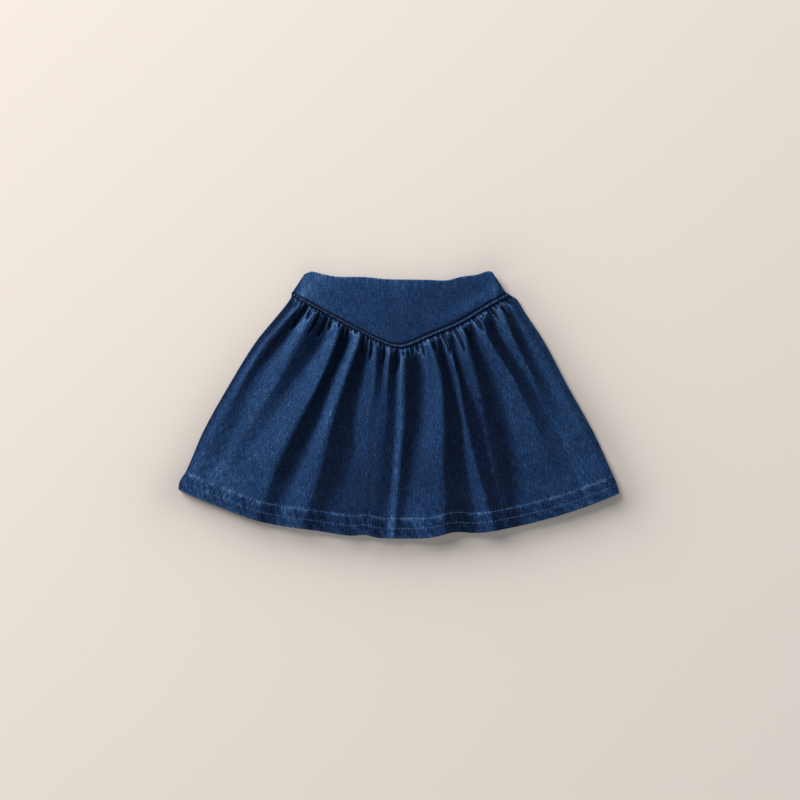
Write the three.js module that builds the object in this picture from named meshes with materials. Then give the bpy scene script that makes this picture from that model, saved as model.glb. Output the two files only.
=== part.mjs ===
// A toddler's denim mini skirt, laid flat on a table with its front up.
// Pieces: a pointed front yoke cut double, an elasticated back waistband, and two gathered panels
// whose hems are turned up and stitched. Units are millimetres and +Z is up. The table is z = 0,
// +Y points to the waist, and the origin is under the middle of the skirt's outline.
import * as THREE from "three";

// Driving dimensions
const CLOTH = 1.1; // one layer of denim
const GAP = 0.3; // between two layers, and across a seam
const SEAM_HALF_GAP = 0.18; // measured along Y, on each side of the sloping yoke seam
const YOKE_THICK = 2.2; // the yoke is two layers
const HEM_THICK = 2.3; // a panel and its turned-up allowance
const HEM_DEPTH = 20; // how far the allowance is turned up
const BAND_DEPTH = 20; // the back waistband, from top to bottom
const BAND_THICK = 4.6; // the ruched casing with its elastic
const BAND_END_THICK = 2.2; // the casing at the side seams
const BAND_TAPER = 16; // over which it gets thinner towards them
const BAND_RAMP = { below: 14, over: 12 }; // where the front climbs onto the waistband
const BACK_GATHERS = 38; // along the back panel's top

// Cloth at the yoke seam, by distance below it: the pressed header, then the puff of the gathers,
// which is full on the ridges of the main folds and small in their valleys.
const HEADER = { height: 1.2, rise: 1.5, end: 4.2, fall: 1.5 };
const PUFF = { height: 4.2, valley: 0.25, ridge: 6, start: 3.6, rise: 2.2, full: 8, fade: 34 };
const GATHER = { depth: 4.4, start: 3.6, rise: 1, floor: 0.35, wide: 0.56, reach: 0.026, end: 0.3 };
const BACK_GATHER = {
  depth: 2.5,
  shallower: 0.44, // by up to this share
  length: 25,
  uneven: 14, // longer or shorter by up to this
  drift: 0.2, // sideways, as a share of the distance between two
  halfWidth: 0.42, // as a share of that distance
  fade: 1.25,
};
const BACK_PACE = { place: 4.1, length: 2.3, lengthToo: 0.9, depth: 5.7 }; // of the sines that vary them
const BACK_FLAT = 0.35; // the back's underside stays flat where a gather is shallower than this
const FOLDS_GROW = { start: 3.6, over: 4.5 }; // the main folds rise from the seam over this distance
const FOLD_SOFT = 0.4; // 0 gives straight faces between fold lines, 1 round ridges and valleys

// How far the front is held off the back: at least, by the back's gathers, and by the air below.
const LOFT = { least: 0.55, gathers: 2.35, gathersFade: 42, air: 1.5, airAt: 70, airFade: 75 };
const SIDE_SETTLE = 13; // the panels come down onto each other this far from a side seam
const SIDE_ROUND = 5.5; // radius of the soft fold along each side seam
const STEEPEST = 2.5; // a wall's upright thickness is at most this many times its real one
const HEM_SETTLE = 32; // the front slopes up onto the thicker hem over this distance
const HEM_STEP = 1.8; // over which a wall thickens at the top of the turned-up allowance
const STEP_ABOVE = 1.5; // that step starts this far above the allowance
const COVER_ABOVE = 2; // and what lies over it is at its full height this far above
const EDGE_ROUND = { drop: 0.55, over: 1.4, lift: 0.45, thinner: 0.6 }; // of the hem's folded edge

// The yoke's pointed seam: its tip, its ends, and the slope and rounding of its two arms.
const TIP = { x: 1, y: 60.4 };
const SEAM_LEFT = { x: -106.7, slope: 0.56, rounding: 16 };
const SEAM_RIGHT = { x: 107.8, slope: 0.52, rounding: 9 };
const SEAM_SAG = { x: 60, width: 22, depth: 2.9 };

// The hem is an arc, a little lower at the right, and drawn up or let down where folds meet it.
const HEM = { lowX: -0.7, lowY: -133.3, radius: 540, tilt: 0.01 };
const HEM_RETREATS = [
  { x: -140, width: 30, depth: -2.2 },
  { x: -80, width: 22, depth: 0.9 },
  { x: -34, width: 9, depth: 2.4 },
  { x: 56, width: 16, depth: 4.1 },
];

// The side edges, from the yoke seam (down = 0) to the hem (down = 1).
const SIDES = [
  { down: 0, left: -106.7, right: 107.8 },
  { down: 0.03, left: -107.8, right: 113 },
  { down: 0.1, left: -118.2, right: 125.8 },
  { down: 0.25, left: -142.4, right: 146 },
  { down: 0.45, left: -167, right: 167 },
  { down: 0.7, left: -194.6, right: 194.8 },
  { down: 0.9, left: -211.4, right: 212.8 },
  { down: 0.96, left: -218.4, right: 217.8 },
  { down: 1, left: -219.6, right: 219.8 },
];
const SHOULDER = { reach: 4.5, down: 0.03, length: 0.045, power: 24 }; // a pleat puffs out at the right

// The yoke's upper outline, from its left corner to its right one.
const YOKE_TOP = [
  { x: -91.5, y: 131.2 },
  { x: -87, y: 132.7 },
  { x: -76, y: 130.3 },
  { x: -62, y: 127.7 },
  { x: -34, y: 127.2 },
  { x: -12, y: 125.2 },
  { x: 28, y: 124.5 },
  { x: 48, y: 124 },
  { x: 62, y: 127.4 },
  { x: 78, y: 129.7 },
  { x: 89, y: 133.1 },
  { x: 93, y: 132.4 },
];
const YOKE_FOOT = { left: -104.4, right: 107.2 }; // x of the yoke's lower corners
const BAND_TOP_DROP = 0.8; // the back's top edge lies this far behind the front's
const BAND_LEVEL = { left: -89, right: 90 }; // x beyond which the waistband's top keeps its height
const BAND_FOOT = { left: -106.8, right: 106.4 }; // x of the waistband's lower corners
const BAND_HEAD = { left: -93.5, right: 91.5 }; // x of its upper corners

// Fold lines of the front panel, from left to right, ridges and valleys in turn. x90 to xm95 are
// the line's x where y is 90, 65, 25, -15, -55 and -95. The last three columns are its height
// above the resting cloth near the yoke, half way down and at the hem.
const FOLD_Y = [90, 65, 25, -15, -55, -95];
const FOLD_HEIGHT_Y = [45, -15, -95];
const FOLD_HEIGHT_TOP = 60; // the height keeps the same above this y
const FOLD_LINES = [
  // x90, x65, x25, xm15, xm55, xm95, upper, middle, lower
  [-108, -133, -156, -176, -196, -212, 4.8, 2.2, 1.6],
  [-97, -114, -145, -161, -180, -200, 1.2, 1.8, 1.4],
  [-84, -99, -120, -145, -170, -193, 6.6, 4.0, 1.6],
  [-72, -77, -104, -130, -158, -185, 1.0, 2.4, 1.2],
  [-57, -63, -79, -101, -122, -136, 8.0, 7.6, 4.2],
  [-49, -51, -67, -81, -99, -117, 0.8, 0.8, 1.2],
  [-36, -40, -55, -69, -80, -92, 7.6, 7.2, 4.4],
  [-30, -31, -38, -46, -49, -64, 0.8, 0.8, 1.0],
  [-24, -23, -24, -30, -31, -33, 4.8, 3.4, 2.4],
  [-15, -14, -17, -21, -24, -28, 1.4, 2.4, 2.0],
  [-9, -8, -12, -13, -19, -24, 4.2, 3.4, 2.8],
  [-2, -2, -3, -4, -6, -10, 0.8, 0.8, 1.0],
  [4, 5, 3, 3, 0, -3, 5.8, 6.2, 3.8],
  [14, 15, 22, 20, 15, 8, 0.8, 0.8, 1.0],
  [31, 31, 41, 42, 41, 41, 8.6, 8.4, 5.6],
  [40, 42, 52, 62, 65, 71, 0.6, 0.6, 0.6],
  [47, 49, 59, 65, 74, 85, 5.4, 6.0, 4.6],
  [51, 53, 64, 80, 90, 101, 0.8, 1.0, 1.6],
  [63, 66, 76, 85, 93, 103, 7.0, 5.0, 2.8],
  [71, 75, 92, 104, 112, 118, 0.6, 0.6, 0.6],
  [79, 88, 112, 131, 146, 157, 6.8, 4.0, 1.8],
  [92, 101, 128, 148, 163, 176, 0.8, 1.2, 1.2],
  [103, 113, 133, 150, 168, 184, 4.8, 2.4, 1.4],
  [112, 124, 144, 163, 182, 197, 0.8, 1.0, 1.2],
  [124, 138, 158, 178, 195, 206, 3.2, 2.6, 1.6],
];

// Small gathers of the front, from left to right: each trough's share across the panel, its length
// and its depth as a share of the deepest.
const GATHER_LINES = [
  // across, length, depth
  [0.011, 9, 0.5],
  [0.035, 16, 0.8],
  [0.05, 9, 0.8],
  [0.071, 34, 1],
  [0.101, 20, 0.8],
  [0.114, 9, 0.9],
  [0.131, 30, 0.9],
  [0.144, 8, 0.8],
  [0.161, 30, 0.9],
  [0.189, 19, 0.9],
  [0.205, 8, 0.6],
  [0.224, 11, 0.9],
  [0.242, 28, 0.9],
  [0.26, 17, 0.7],
  [0.275, 8, 0.7],
  [0.294, 9, 0.9],
  [0.33, 26, 1],
  [0.35, 9, 0.8],
  [0.37, 28, 0.8],
  [0.386, 9, 0.9],
  [0.409, 10, 0.8],
  [0.424, 24, 0.8],
  [0.437, 7, 0.5],
  [0.458, 9, 0.8],
  [0.481, 30, 1],
  [0.508, 14, 0.8],
  [0.528, 17, 0.7],
  [0.545, 14, 1],
  [0.573, 13, 1],
  [0.593, 20, 0.9],
  [0.605, 8, 0.7],
  [0.638, 22, 1],
  [0.668, 8, 0.8],
  [0.693, 30, 1],
  [0.723, 9, 0.9],
  [0.746, 32, 0.9],
  [0.757, 8, 0.7],
  [0.782, 34, 1],
  [0.796, 12, 0.6],
  [0.807, 7, 0.7],
  [0.837, 22, 1],
  [0.851, 12, 0.7],
  [0.864, 10, 0.8],
  [0.88, 7, 0.5],
  [0.89, 16, 0.8],
  [0.905, 19, 0.8],
  [0.924, 10, 0.8],
  [0.94, 24, 0.9],
  [0.958, 7, 0.6],
  [0.974, 9, 0.9],
  [0.989, 6, 0.5],
];

// The hidden back has the same kind of folds, fewer and lower, as narrow creases in a flat sheet:
// the share across the panel, the height, and how far down they end as a share of the length.
const BACK_FOLDS = [
  // across, height, end
  [3 / BACK_GATHERS, 1.5, 0.55],
  [7 / BACK_GATHERS, 1.9, 0.9],
  [10 / BACK_GATHERS, 1.4, 0.5],
  [14 / BACK_GATHERS, 2.0, 0.95],
  [17 / BACK_GATHERS, 1.5, 0.6],
  [22 / BACK_GATHERS, 1.9, 0.85],
  [26 / BACK_GATHERS, 1.6, 0.6],
  [29 / BACK_GATHERS, 2.0, 0.95],
  [32 / BACK_GATHERS, 1.4, 0.5],
  [35 / BACK_GATHERS, 1.6, 0.75],
];
const BACK_FOLD = { halfWidth: 1.6, start: 8, grow: 30, fade: 0.22 }; // in columns, mm, mm and a share

// Rows of the yoke, as a share of its height and then a distance, less where the yoke is short.
const YOKE_ROWS = [
  { share: 0, mm: 0 },
  { share: 0, mm: 1.6 },
  { share: 0, mm: 6 },
  { share: 0.25, mm: 0 },
  { share: 0.45, mm: 0 },
  { share: 0.65, mm: 0 },
  { share: 1, mm: -7 },
  { share: 1, mm: -2.6 },
  { share: 1, mm: 0 },
];
const YOKE_FULL_ROWS = 30; // height of the yoke from which the distances are full
const YOKE_EDGE = { drop: 0.7, over: 1.6 }; // rounding of its folded upper edge
const YOKE_DITCH = { depth: 0.9, over: 2.6 }; // its lower edge is pulled down by the seam
const YOKE_SIDE = 0.022; // share of its width over which the swells fade to its sides

// Soft swells of the yoke, each a hump of the given half widths round its middle.
const YOKE_SWELLS = {
  arm: { height: 1.1, above: 9, deep: 6, x: 70, wide: 26 },
  left: { height: 1.2, x: -84, wide: 15, y: 112, deep: 13 },
  pulls: { height: 0.35, pitch: 7.5, sway: 1.2, drift: 23, above: 6, grow: 30 },
};

// Rows of the panels: distances from the seam, rows shared out between, distances from the hem.
const FRONT_ROWS = {
  fromSeam: [0, 1.4, 3.2, 4.4, 6, 9, 14, 20, 28, 38],
  shared: 7,
  fromHem: [22, 19.6, 10, 1.4, 0],
};
const BACK_ROWS = { fromSeam: [0, 1.5, 4.2, 10, 20, 32], shared: 4, fromHem: [22, 19.6, 8, 1.4, 0] };

// The waistband's rows are shares down it, and its long edges are round.
const BAND_ROWS = [0, 0.08, 0.5, 0.92, 1];
const BAND_EDGE = { high: 0.7, low: 0.25 }; // heights of the edges, as shares of the thickness
const BAND_PUCKER = { deep: 0.45, uneven: 0.25, pace: 1.7, drawn: 0.8 };

const BACK_COLUMNS = 2 * BACK_GATHERS;
const YOKE_COLUMNS = 44;

const clamp01 = (u) => Math.min(1, Math.max(0, u));
const ease = (u) => clamp01(u) ** 2 * (3 - 2 * clamp01(u));
const mix = (a, b, u) => a + (b - a) * u;
const bell = (x, centre, width) => Math.exp(-(((x - centre) / width) ** 2));
const SOFTNESS = 0.4; // mm over which a depth fades out at zero
const softPositive = (h) => (h + Math.hypot(h, SOFTNESS)) / 2;

// A smooth curve through values at falling or rising stations, straight beyond both ends.
function through(stations, values, at) {
  const rising = stations[1] > stations[0];
  const past = (k) => (rising ? at > stations[k] : at < stations[k]);
  let i = 0;
  while (i < stations.length - 2 && past(i + 1)) i++;
  const steepness = (k) => {
    const a = Math.max(0, k - 1);
    const b = Math.min(stations.length - 1, k + 1);
    return (values[b] - values[a]) / (stations[b] - stations[a]);
  };
  const span = stations[i + 1] - stations[i];
  const u = (at - stations[i]) / span;
  if (u < 0) return values[i] + steepness(i) * (at - stations[i]);
  if (u > 1) return values[i + 1] + steepness(i + 1) * (at - stations[i + 1]);
  const bend = u * u * (3 - 2 * u);
  const leave = u * (1 - u) ** 2 * span * steepness(i);
  const arrive = u * u * (u - 1) * span * steepness(i + 1);
  return mix(values[i], values[i + 1], bend) + leave + arrive;
}

function seamY(x) {
  const arm = x < TIP.x ? SEAM_LEFT : SEAM_RIGHT;
  const rise = arm.slope * (Math.hypot(x - TIP.x, arm.rounding) - arm.rounding);
  return TIP.y + rise - SEAM_SAG.depth * bell(x, SEAM_SAG.x, SEAM_SAG.width);
}

function hemY(x) {
  const off = x - HEM.lowX;
  let y = HEM.lowY + HEM.radius - Math.sqrt(HEM.radius ** 2 - off * off) - HEM.tilt * x;
  for (const r of HEM_RETREATS) y += r.depth * bell(x, r.x, r.width);
  return y;
}

const YOKE_TOP_X = YOKE_TOP.map((p) => p.x);
const YOKE_TOP_Y = YOKE_TOP.map((p) => p.y);
const yokeTopY = (x) => through(YOKE_TOP_X, YOKE_TOP_Y, x);
const bandTopY = (x) => yokeTopY(Math.min(BAND_LEVEL.right, Math.max(BAND_LEVEL.left, x))) - BAND_TOP_DROP;
const bandFootY = (x) => bandTopY(x) - BAND_DEPTH;

const SIDE_DOWN = SIDES.map((p) => p.down);
const SIDE_LEFT = SIDES.map((p) => p.left);
const SIDE_RIGHT = SIDES.map((p) => p.right);
const HEM_LEFT = SIDE_LEFT[SIDE_LEFT.length - 1];
const HEM_RIGHT = SIDE_RIGHT[SIDE_RIGHT.length - 1];

// A panel's place at a share s across and q down, between a top edge and the hem.
function panelPlace(topEdge, s, q) {
  const topX = mix(SEAM_LEFT.x, SEAM_RIGHT.x, s);
  const footX = mix(HEM_LEFT, HEM_RIGHT, s);
  const edge = mix(through(SIDE_DOWN, SIDE_LEFT, q), through(SIDE_DOWN, SIDE_RIGHT, q), s);
  const puff = bell(q, SHOULDER.down, SHOULDER.length) * ease(q / SHOULDER.down);
  const x = edge + SHOULDER.reach * puff * s ** SHOULDER.power;
  return { x, y: mix(topEdge(topX), hemY(footX), q) };
}

const frontTopEdge = (x) => seamY(x) - SEAM_HALF_GAP;
const backTopEdge = (x) => bandFootY(x) - GAP;
const columnLength = (topEdge, s) => {
  const a = panelPlace(topEdge, s, 0);
  const b = panelPlace(topEdge, s, 1);
  return Math.hypot(b.x - a.x, b.y - a.y);
};

// Distance from a place to the nearer side edge of the panels.
function sideDistance(x, y) {
  const q = clamp01((bandFootY(0) - y) / (bandFootY(0) - hemY(HEM_LEFT)));
  const left = panelPlace(() => 0, 0, q).x;
  const right = panelPlace(() => 0, 1, q).x;
  return Math.max(0, Math.min(x - left, right - x));
}

// Thickness of a panel at a distance up from its hem, and the smooth slope of what covers it.
const wallAt = (up) => mix(CLOTH, HEM_THICK, ease((HEM_DEPTH + STEP_ABOVE - up) / HEM_STEP));
const coverAt = (up) => mix(CLOTH, HEM_THICK, ease((HEM_DEPTH + COVER_ABOVE + HEM_SETTLE - up) / HEM_SETTLE));

// The highest that the back panel reaches at a place, and the level on which the front lies.
function backCeiling(x, y) {
  const below = Math.max(0, bandFootY(x) - y);
  const gathers = LOFT.gathers * bell(below, 0, LOFT.gathersFade);
  const air = LOFT.air * bell(below, LOFT.airAt, LOFT.airFade);
  const loft = (LOFT.least + gathers + air) * ease(sideDistance(x, y) / SIDE_SETTLE);
  return coverAt(y - hemY(x)) + loft;
}

function bandThick(x) {
  const end = Math.min(x - BAND_FOOT.left, BAND_FOOT.right - x);
  return mix(BAND_END_THICK, BAND_THICK, ease(end / BAND_TAPER));
}

function restLevel(x, y) {
  const low = backCeiling(x, y);
  const high = Math.max(low, bandThick(x));
  return GAP + mix(low, high, ease((y - bandFootY(x) + BAND_RAMP.below) / BAND_RAMP.over));
}

// Height of the front's main folds at a place, from the fold lines on each side of it.
function foldHeight(x, y) {
  const across = FOLD_LINES.map((line) => through(FOLD_Y, line.slice(0, FOLD_Y.length), y));
  const firstRight = across.findIndex((lineX) => lineX > x);
  const right = Math.max(1, firstRight < 0 ? FOLD_LINES.length - 1 : firstRight);
  const heightY = Math.min(FOLD_HEIGHT_TOP, y);
  const height = (k) => through(FOLD_HEIGHT_Y, FOLD_LINES[k].slice(FOLD_Y.length), heightY);
  const u = clamp01((x - across[right - 1]) / (across[right] - across[right - 1]));
  return mix(height(right - 1), height(right), mix(u, ease(u), FOLD_SOFT));
}

// Small gathers of the front: each trough is widest at the seam, where it almost meets its
// neighbours, and narrows to a rounded end at its length.
function gatherDepth(s, down) {
  const distance = GATHER_LINES.map(([across]) => Math.abs(s - across));
  const k = distance.indexOf(Math.min(...distance));
  const [across, length, strength] = GATHER_LINES[k];
  const neighbour = GATHER_LINES[s < across ? k - 1 : k + 1];
  const room = Math.min(GATHER.reach, neighbour ? Math.abs(neighbour[0] - across) : GATHER.reach);
  const run = Math.min(1, down / length);
  const off = Math.abs(s - across) / (room * GATHER.wide * Math.sqrt(1.001 - run * run));
  const trough = 1 - ease((off - GATHER.floor) / (1 - GATHER.floor));
  const kept = ease((1 - run) / GATHER.end);
  return GATHER.depth * strength * trough * kept * ease((down - GATHER.start) / GATHER.rise);
}

// The hidden back's gathers: narrow troughs at even places, uneven in place, length and depth.
function backGatherDepth(s, down) {
  let depth = 0;
  const nearest = Math.round(s * BACK_GATHERS - 0.5);
  for (let k = Math.max(0, nearest - 1); k <= Math.min(BACK_GATHERS - 1, nearest + 1); k++) {
    const centre = (k + 0.5 + BACK_GATHER.drift * Math.sin(BACK_PACE.place * k)) / BACK_GATHERS;
    const longer = Math.sin(BACK_PACE.length * k + 1) * Math.cos(BACK_PACE.lengthToo * k);
    const length = BACK_GATHER.length + BACK_GATHER.uneven * longer;
    const strength = 1 - (BACK_GATHER.shallower * (1 - Math.sin(BACK_PACE.depth * k + 2))) / 2;
    const off = (Math.abs(s - centre) * BACK_GATHERS) / BACK_GATHER.halfWidth;
    const trough = off < 1 ? Math.cos((off * Math.PI) / 2) ** 2 : 0;
    depth = Math.max(depth, strength * trough * ease(BACK_GATHER.fade - down / length));
  }
  return BACK_GATHER.depth * depth * ease((down - GATHER.start) / GATHER.rise);
}

// Top of the front panel: the pressed header by the seam, then gathers, folds and hem.
function frontTop(s, q) {
  const { x, y } = panelPlace(frontTopEdge, s, q);
  const length = columnLength(frontTopEdge, s);
  const down = q * length;
  const up = (1 - q) * length;
  const header = HEADER.height * ease(down / HEADER.rise) * ease((HEADER.end - down) / HEADER.fall);
  const folds = foldHeight(x, y);
  const fading = bell(Math.max(0, down - PUFF.full), 0, PUFF.fade);
  const onRidge = mix(PUFF.valley, 1, ease(folds / PUFF.ridge));
  const puff = PUFF.height * ease((down - PUFF.start) / PUFF.rise) * fading * onRidge;
  const grown = ease((down - FOLDS_GROW.start) / FOLDS_GROW.over);
  const swell = folds * grown + puff - gatherDepth(s, down);
  const rounded = 1 - bell(sideDistance(x, y), 0, SIDE_ROUND);
  const edge = EDGE_ROUND.drop * ease(1 - up / EDGE_ROUND.over);
  const z = restLevel(x, y) + coverAt(up) + header + softPositive(swell) * rounded - edge;
  return new THREE.Vector3(x, y, z);
}

// Underside of the back panel: flat on the table, with gathers and folds as raised creases.
function backUnder(s, q) {
  const { x, y } = panelPlace(backTopEdge, s, q);
  const down = q * columnLength(backTopEdge, s);
  let rise = Math.max(0, backGatherDepth(s, down) - BACK_FLAT);
  for (const [across, height, end] of BACK_FOLDS) {
    const crease = ease(BACK_FOLD.halfWidth - Math.abs(s - across) * BACK_COLUMNS);
    const starts = ease((down - BACK_FOLD.start) / BACK_FOLD.grow);
    rise = Math.max(rise, height * crease * starts * ease((end - q) / BACK_FOLD.fade));
  }
  return new THREE.Vector3(x, y, rise * ease(sideDistance(x, y) / SIDE_SETTLE));
}

// Upright thickness of a wall that is `thick` at right angles to the sheet surface(s, q): the mean
// of what the slopes on the left and on the right of the place ask for.
function upright(surface, s, q, thick) {
  const step = 0.002;
  const here = surface(s, q);
  const down = surface(s, Math.min(1, q + step)).sub(surface(s, Math.max(0, q - step)));
  const slant = (side) => {
    const along = surface(clamp01(s + side * step), q).sub(here);
    if (along.lengthSq() === 0) return 1;
    const normal = along.cross(down).normalize();
    return Math.min(STEEPEST, 1 / Math.max(1e-6, Math.abs(normal.z)));
  };
  return (thick * (slant(-1) + slant(1))) / 2;
}

// A closed wall from rows of columns; shares are the columns' places across a row, and
// corner(s, row) gives its upper and lower points.
function wall(rows, shares, corner) {
  const positions = [];
  const faces = [];
  const add = (p) => positions.push(p.x, p.y, p.z) / 3 - 1;
  const grid = rows.map((row) =>
    shares.map((s) => {
      const { upper, lower } = corner(s, row);
      return { upper: add(upper), lower: add(lower) };
    }),
  );
  const both = (a, b, c) => {
    faces.push(a.upper, b.upper, c.upper);
    faces.push(a.lower, c.lower, b.lower);
  };
  const rim = (a, b) => faces.push(a.upper, a.lower, b.lower, a.upper, b.lower, b.upper);
  for (let r = 0; r + 1 < grid.length; r++) {
    const above = grid[r];
    const below = grid[r + 1];
    for (let c = 0; c + 1 < below.length; c++) {
      both(above[c], below[c], below[c + 1]);
      both(above[c], below[c + 1], above[c + 1]);
    }
    rim(above[0], below[0]);
    rim(below[below.length - 1], above[above.length - 1]);
  }
  const top = grid[0];
  const foot = grid[grid.length - 1];
  for (let c = 0; c + 1 < top.length; c++) rim(top[c + 1], top[c]);
  for (let c = 0; c + 1 < foot.length; c++) rim(foot[c], foot[c + 1]);
  return new THREE.BufferGeometry()
    .setAttribute("position", new THREE.Float32BufferAttribute(positions, 3))
    .setIndex(faces);
}

const evenShares = (columns) => Array.from({ length: columns + 1 }, (_, c) => c / columns);

// Shares across the front: its sides, the floor of each gather and the crest between two.
function sharesAtGathers() {
  const marks = [0, ...GATHER_LINES.map(([across]) => across), 1];
  return marks.flatMap((mark, k) => (k === 0 ? [mark] : [(marks[k - 1] + mark) / 2, mark]));
}

// Rows of a panel: some at distances from the seam, some shared out, some at distances from the hem.
function panelRows({ fromSeam, shared, fromHem }) {
  const last = fromSeam[fromSeam.length - 1];
  const middle = Array.from({ length: shared }, (_, k) => (k + 1) / (shared + 1));
  return [
    ...fromSeam.map((mm) => (length) => mm / length),
    ...middle.map((share) => (length) => mix(last, length - fromHem[0], share) / length),
    ...fromHem.map((mm) => (length) => 1 - mm / length),
  ];
}

const denim = (color) => new THREE.MeshStandardMaterial({ color, roughness: 0.9, metalness: 0, flatShading: true });

function piece(name, geometry, color) {
  const mesh = new THREE.Mesh(geometry, denim(color));
  mesh.name = name;
  return mesh;
}

function frontSkirt() {
  const geometry = wall(panelRows(FRONT_ROWS), sharesAtGathers(), (s, placeIn) => {
    const length = columnLength(frontTopEdge, s);
    const q = placeIn(length);
    const upper = frontTop(s, q);
    const thick = wallAt((1 - q) * length) - (q === 1 ? EDGE_ROUND.thinner : 0);
    const bottom = upper.z - upright(frontTop, s, q, thick);
    const rest = restLevel(upper.x, upper.y) + (q === 1 ? EDGE_ROUND.lift : 0);
    const lower = new THREE.Vector3(upper.x, upper.y, Math.max(rest, bottom));
    return { upper, lower };
  });
  return piece("front_skirt", geometry, 0x24406c);
}

function backSkirt() {
  const geometry = wall(panelRows(BACK_ROWS), evenShares(BACK_COLUMNS), (s, placeIn) => {
    const length = columnLength(backTopEdge, s);
    const q = placeIn(length);
    const lower = backUnder(s, q);
    const thick = wallAt((1 - q) * length);
    const edge = q === 1 ? EDGE_ROUND.lift : 0;
    const ceiling = backCeiling(lower.x, lower.y) - edge;
    const height = lower.z + upright(backUnder, s, q, thick) - edge;
    const upper = new THREE.Vector3(lower.x, lower.y, Math.min(ceiling, height));
    lower.z += edge;
    return { upper, lower };
  });
  return piece("back_skirt", geometry, 0x22395f);
}

// The yoke's place at a share s across and v down, from its upper edge to the pointed seam.
function yokePlace(s, v) {
  const head = mix(YOKE_TOP[0].x, YOKE_TOP[YOKE_TOP.length - 1].x, s);
  const foot = mix(YOKE_FOOT.left, YOKE_FOOT.right, s);
  return { x: mix(head, foot, v), y: mix(yokeTopY(head), seamY(foot) + SEAM_HALF_GAP, v) };
}

function yokeSwell(x, y) {
  const { arm, left, pulls } = YOKE_SWELLS;
  const above = y - seamY(x);
  const alongArm = arm.height * bell(above, arm.above, arm.deep) * bell(x, arm.x, arm.wide);
  const atLeft = left.height * bell(x, left.x, left.wide) * bell(y, left.y, left.deep);
  const wave = 1 + Math.sin(x / pulls.pitch + pulls.sway * Math.sin(x / pulls.drift));
  return alongArm + atLeft + pulls.height * wave * ease((above - pulls.above) / pulls.grow);
}

function yokeTop(s, v) {
  const { x, y } = yokePlace(s, v);
  const foot = yokePlace(s, 1);
  const head = yokePlace(s, 0);
  const aboveSeam = Math.hypot(x - foot.x, y - foot.y);
  const belowTop = Math.hypot(x - head.x, y - head.y);
  const inside = 1 - bell(Math.min(s, 1 - s), 0, YOKE_SIDE);
  const ditch = YOKE_DITCH.depth * ease(1 - aboveSeam / YOKE_DITCH.over);
  const topEdge = YOKE_EDGE.drop * ease(1 - belowTop / YOKE_EDGE.over);
  const z = restLevel(x, y) + YOKE_THICK + yokeSwell(x, y) * inside - ditch - topEdge;
  return new THREE.Vector3(x, y, z);
}

function frontYoke() {
  const geometry = wall(YOKE_ROWS, evenShares(YOKE_COLUMNS), (s, { mm, share }) => {
    const head = yokePlace(s, 0);
    const foot = yokePlace(s, 1);
    const long = Math.hypot(head.x - foot.x, head.y - foot.y);
    const v = share + (mm / long) * Math.min(1, long / YOKE_FULL_ROWS);
    const upper = yokeTop(s, v);
    const lift = v === 0 ? YOKE_EDGE.drop : 0;
    const lower = new THREE.Vector3(upper.x, upper.y, restLevel(upper.x, upper.y) + lift);
    return { upper, lower };
  });
  return piece("front_yoke", geometry, 0x23416d);
}

// The waistband is a ruched casing: a flat underside, rounded edges and small puckers.
function backWaistband() {
  const geometry = wall(BAND_ROWS, evenShares(BACK_COLUMNS), (s, v) => {
    const column = Math.round(s * BACK_COLUMNS);
    const uneven = BAND_PUCKER.uneven * Math.sin(BAND_PUCKER.pace * column);
    const pucker = column % 2 ? 0 : BAND_PUCKER.deep + uneven;
    const head = mix(BAND_HEAD.left, BAND_HEAD.right, s);
    const foot = mix(BAND_FOOT.left, BAND_FOOT.right, s);
    const x = mix(head, foot, v);
    const y = mix(bandTopY(head) - BAND_PUCKER.drawn * pucker, bandFootY(foot), v);
    const thick = bandThick(x);
    const onEdge = v === 0 || v === 1;
    const upper = new THREE.Vector3(x, y, onEdge ? BAND_EDGE.high * thick : thick - pucker);
    const lower = new THREE.Vector3(x, y, onEdge ? BAND_EDGE.low * thick : 0);
    return { upper, lower };
  });
  return piece("back_waistband", geometry, 0x2a4672);
}

const skirt = new THREE.Group();
skirt.add(frontYoke(), frontSkirt(), backWaistband(), backSkirt());

export default skirt;
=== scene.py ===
"""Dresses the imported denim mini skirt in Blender: its cloth, sewing and wear, and a plain studio.

The cloth is worked out in millimetres, as whole arrays over a share s across a piece and a share q
down it, and goes into the meshes in metres. The skirt lies front up, with its waist towards +Y.
"""
from math import cos, pi, radians, sin

import bpy
import numpy as np
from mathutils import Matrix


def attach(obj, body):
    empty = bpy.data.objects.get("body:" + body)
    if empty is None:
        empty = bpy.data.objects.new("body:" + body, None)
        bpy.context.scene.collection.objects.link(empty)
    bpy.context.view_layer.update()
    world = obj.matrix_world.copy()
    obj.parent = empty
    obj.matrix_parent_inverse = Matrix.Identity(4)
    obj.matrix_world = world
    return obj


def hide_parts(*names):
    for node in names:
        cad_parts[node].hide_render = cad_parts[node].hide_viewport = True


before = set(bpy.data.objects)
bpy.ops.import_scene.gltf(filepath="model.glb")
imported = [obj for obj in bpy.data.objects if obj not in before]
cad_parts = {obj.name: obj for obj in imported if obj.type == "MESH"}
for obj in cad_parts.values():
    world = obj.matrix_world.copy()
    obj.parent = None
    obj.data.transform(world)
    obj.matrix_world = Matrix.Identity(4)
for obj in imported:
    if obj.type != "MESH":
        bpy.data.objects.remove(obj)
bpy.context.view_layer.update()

bl_info = {
    "name": "Denim mini skirt",
    "version": (1, 0, 0),
    "blender": (4, 5, 0),
    "location": "3D View > Sidebar > Skirt",
    "description": "Cloth, sewing and studio of a gathered denim skirt laid flat",
    "category": "Add Mesh",
}

MM = 0.001
KEY_DISTANCE = 5.5  # metres from the middle of the floor to the key light

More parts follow.
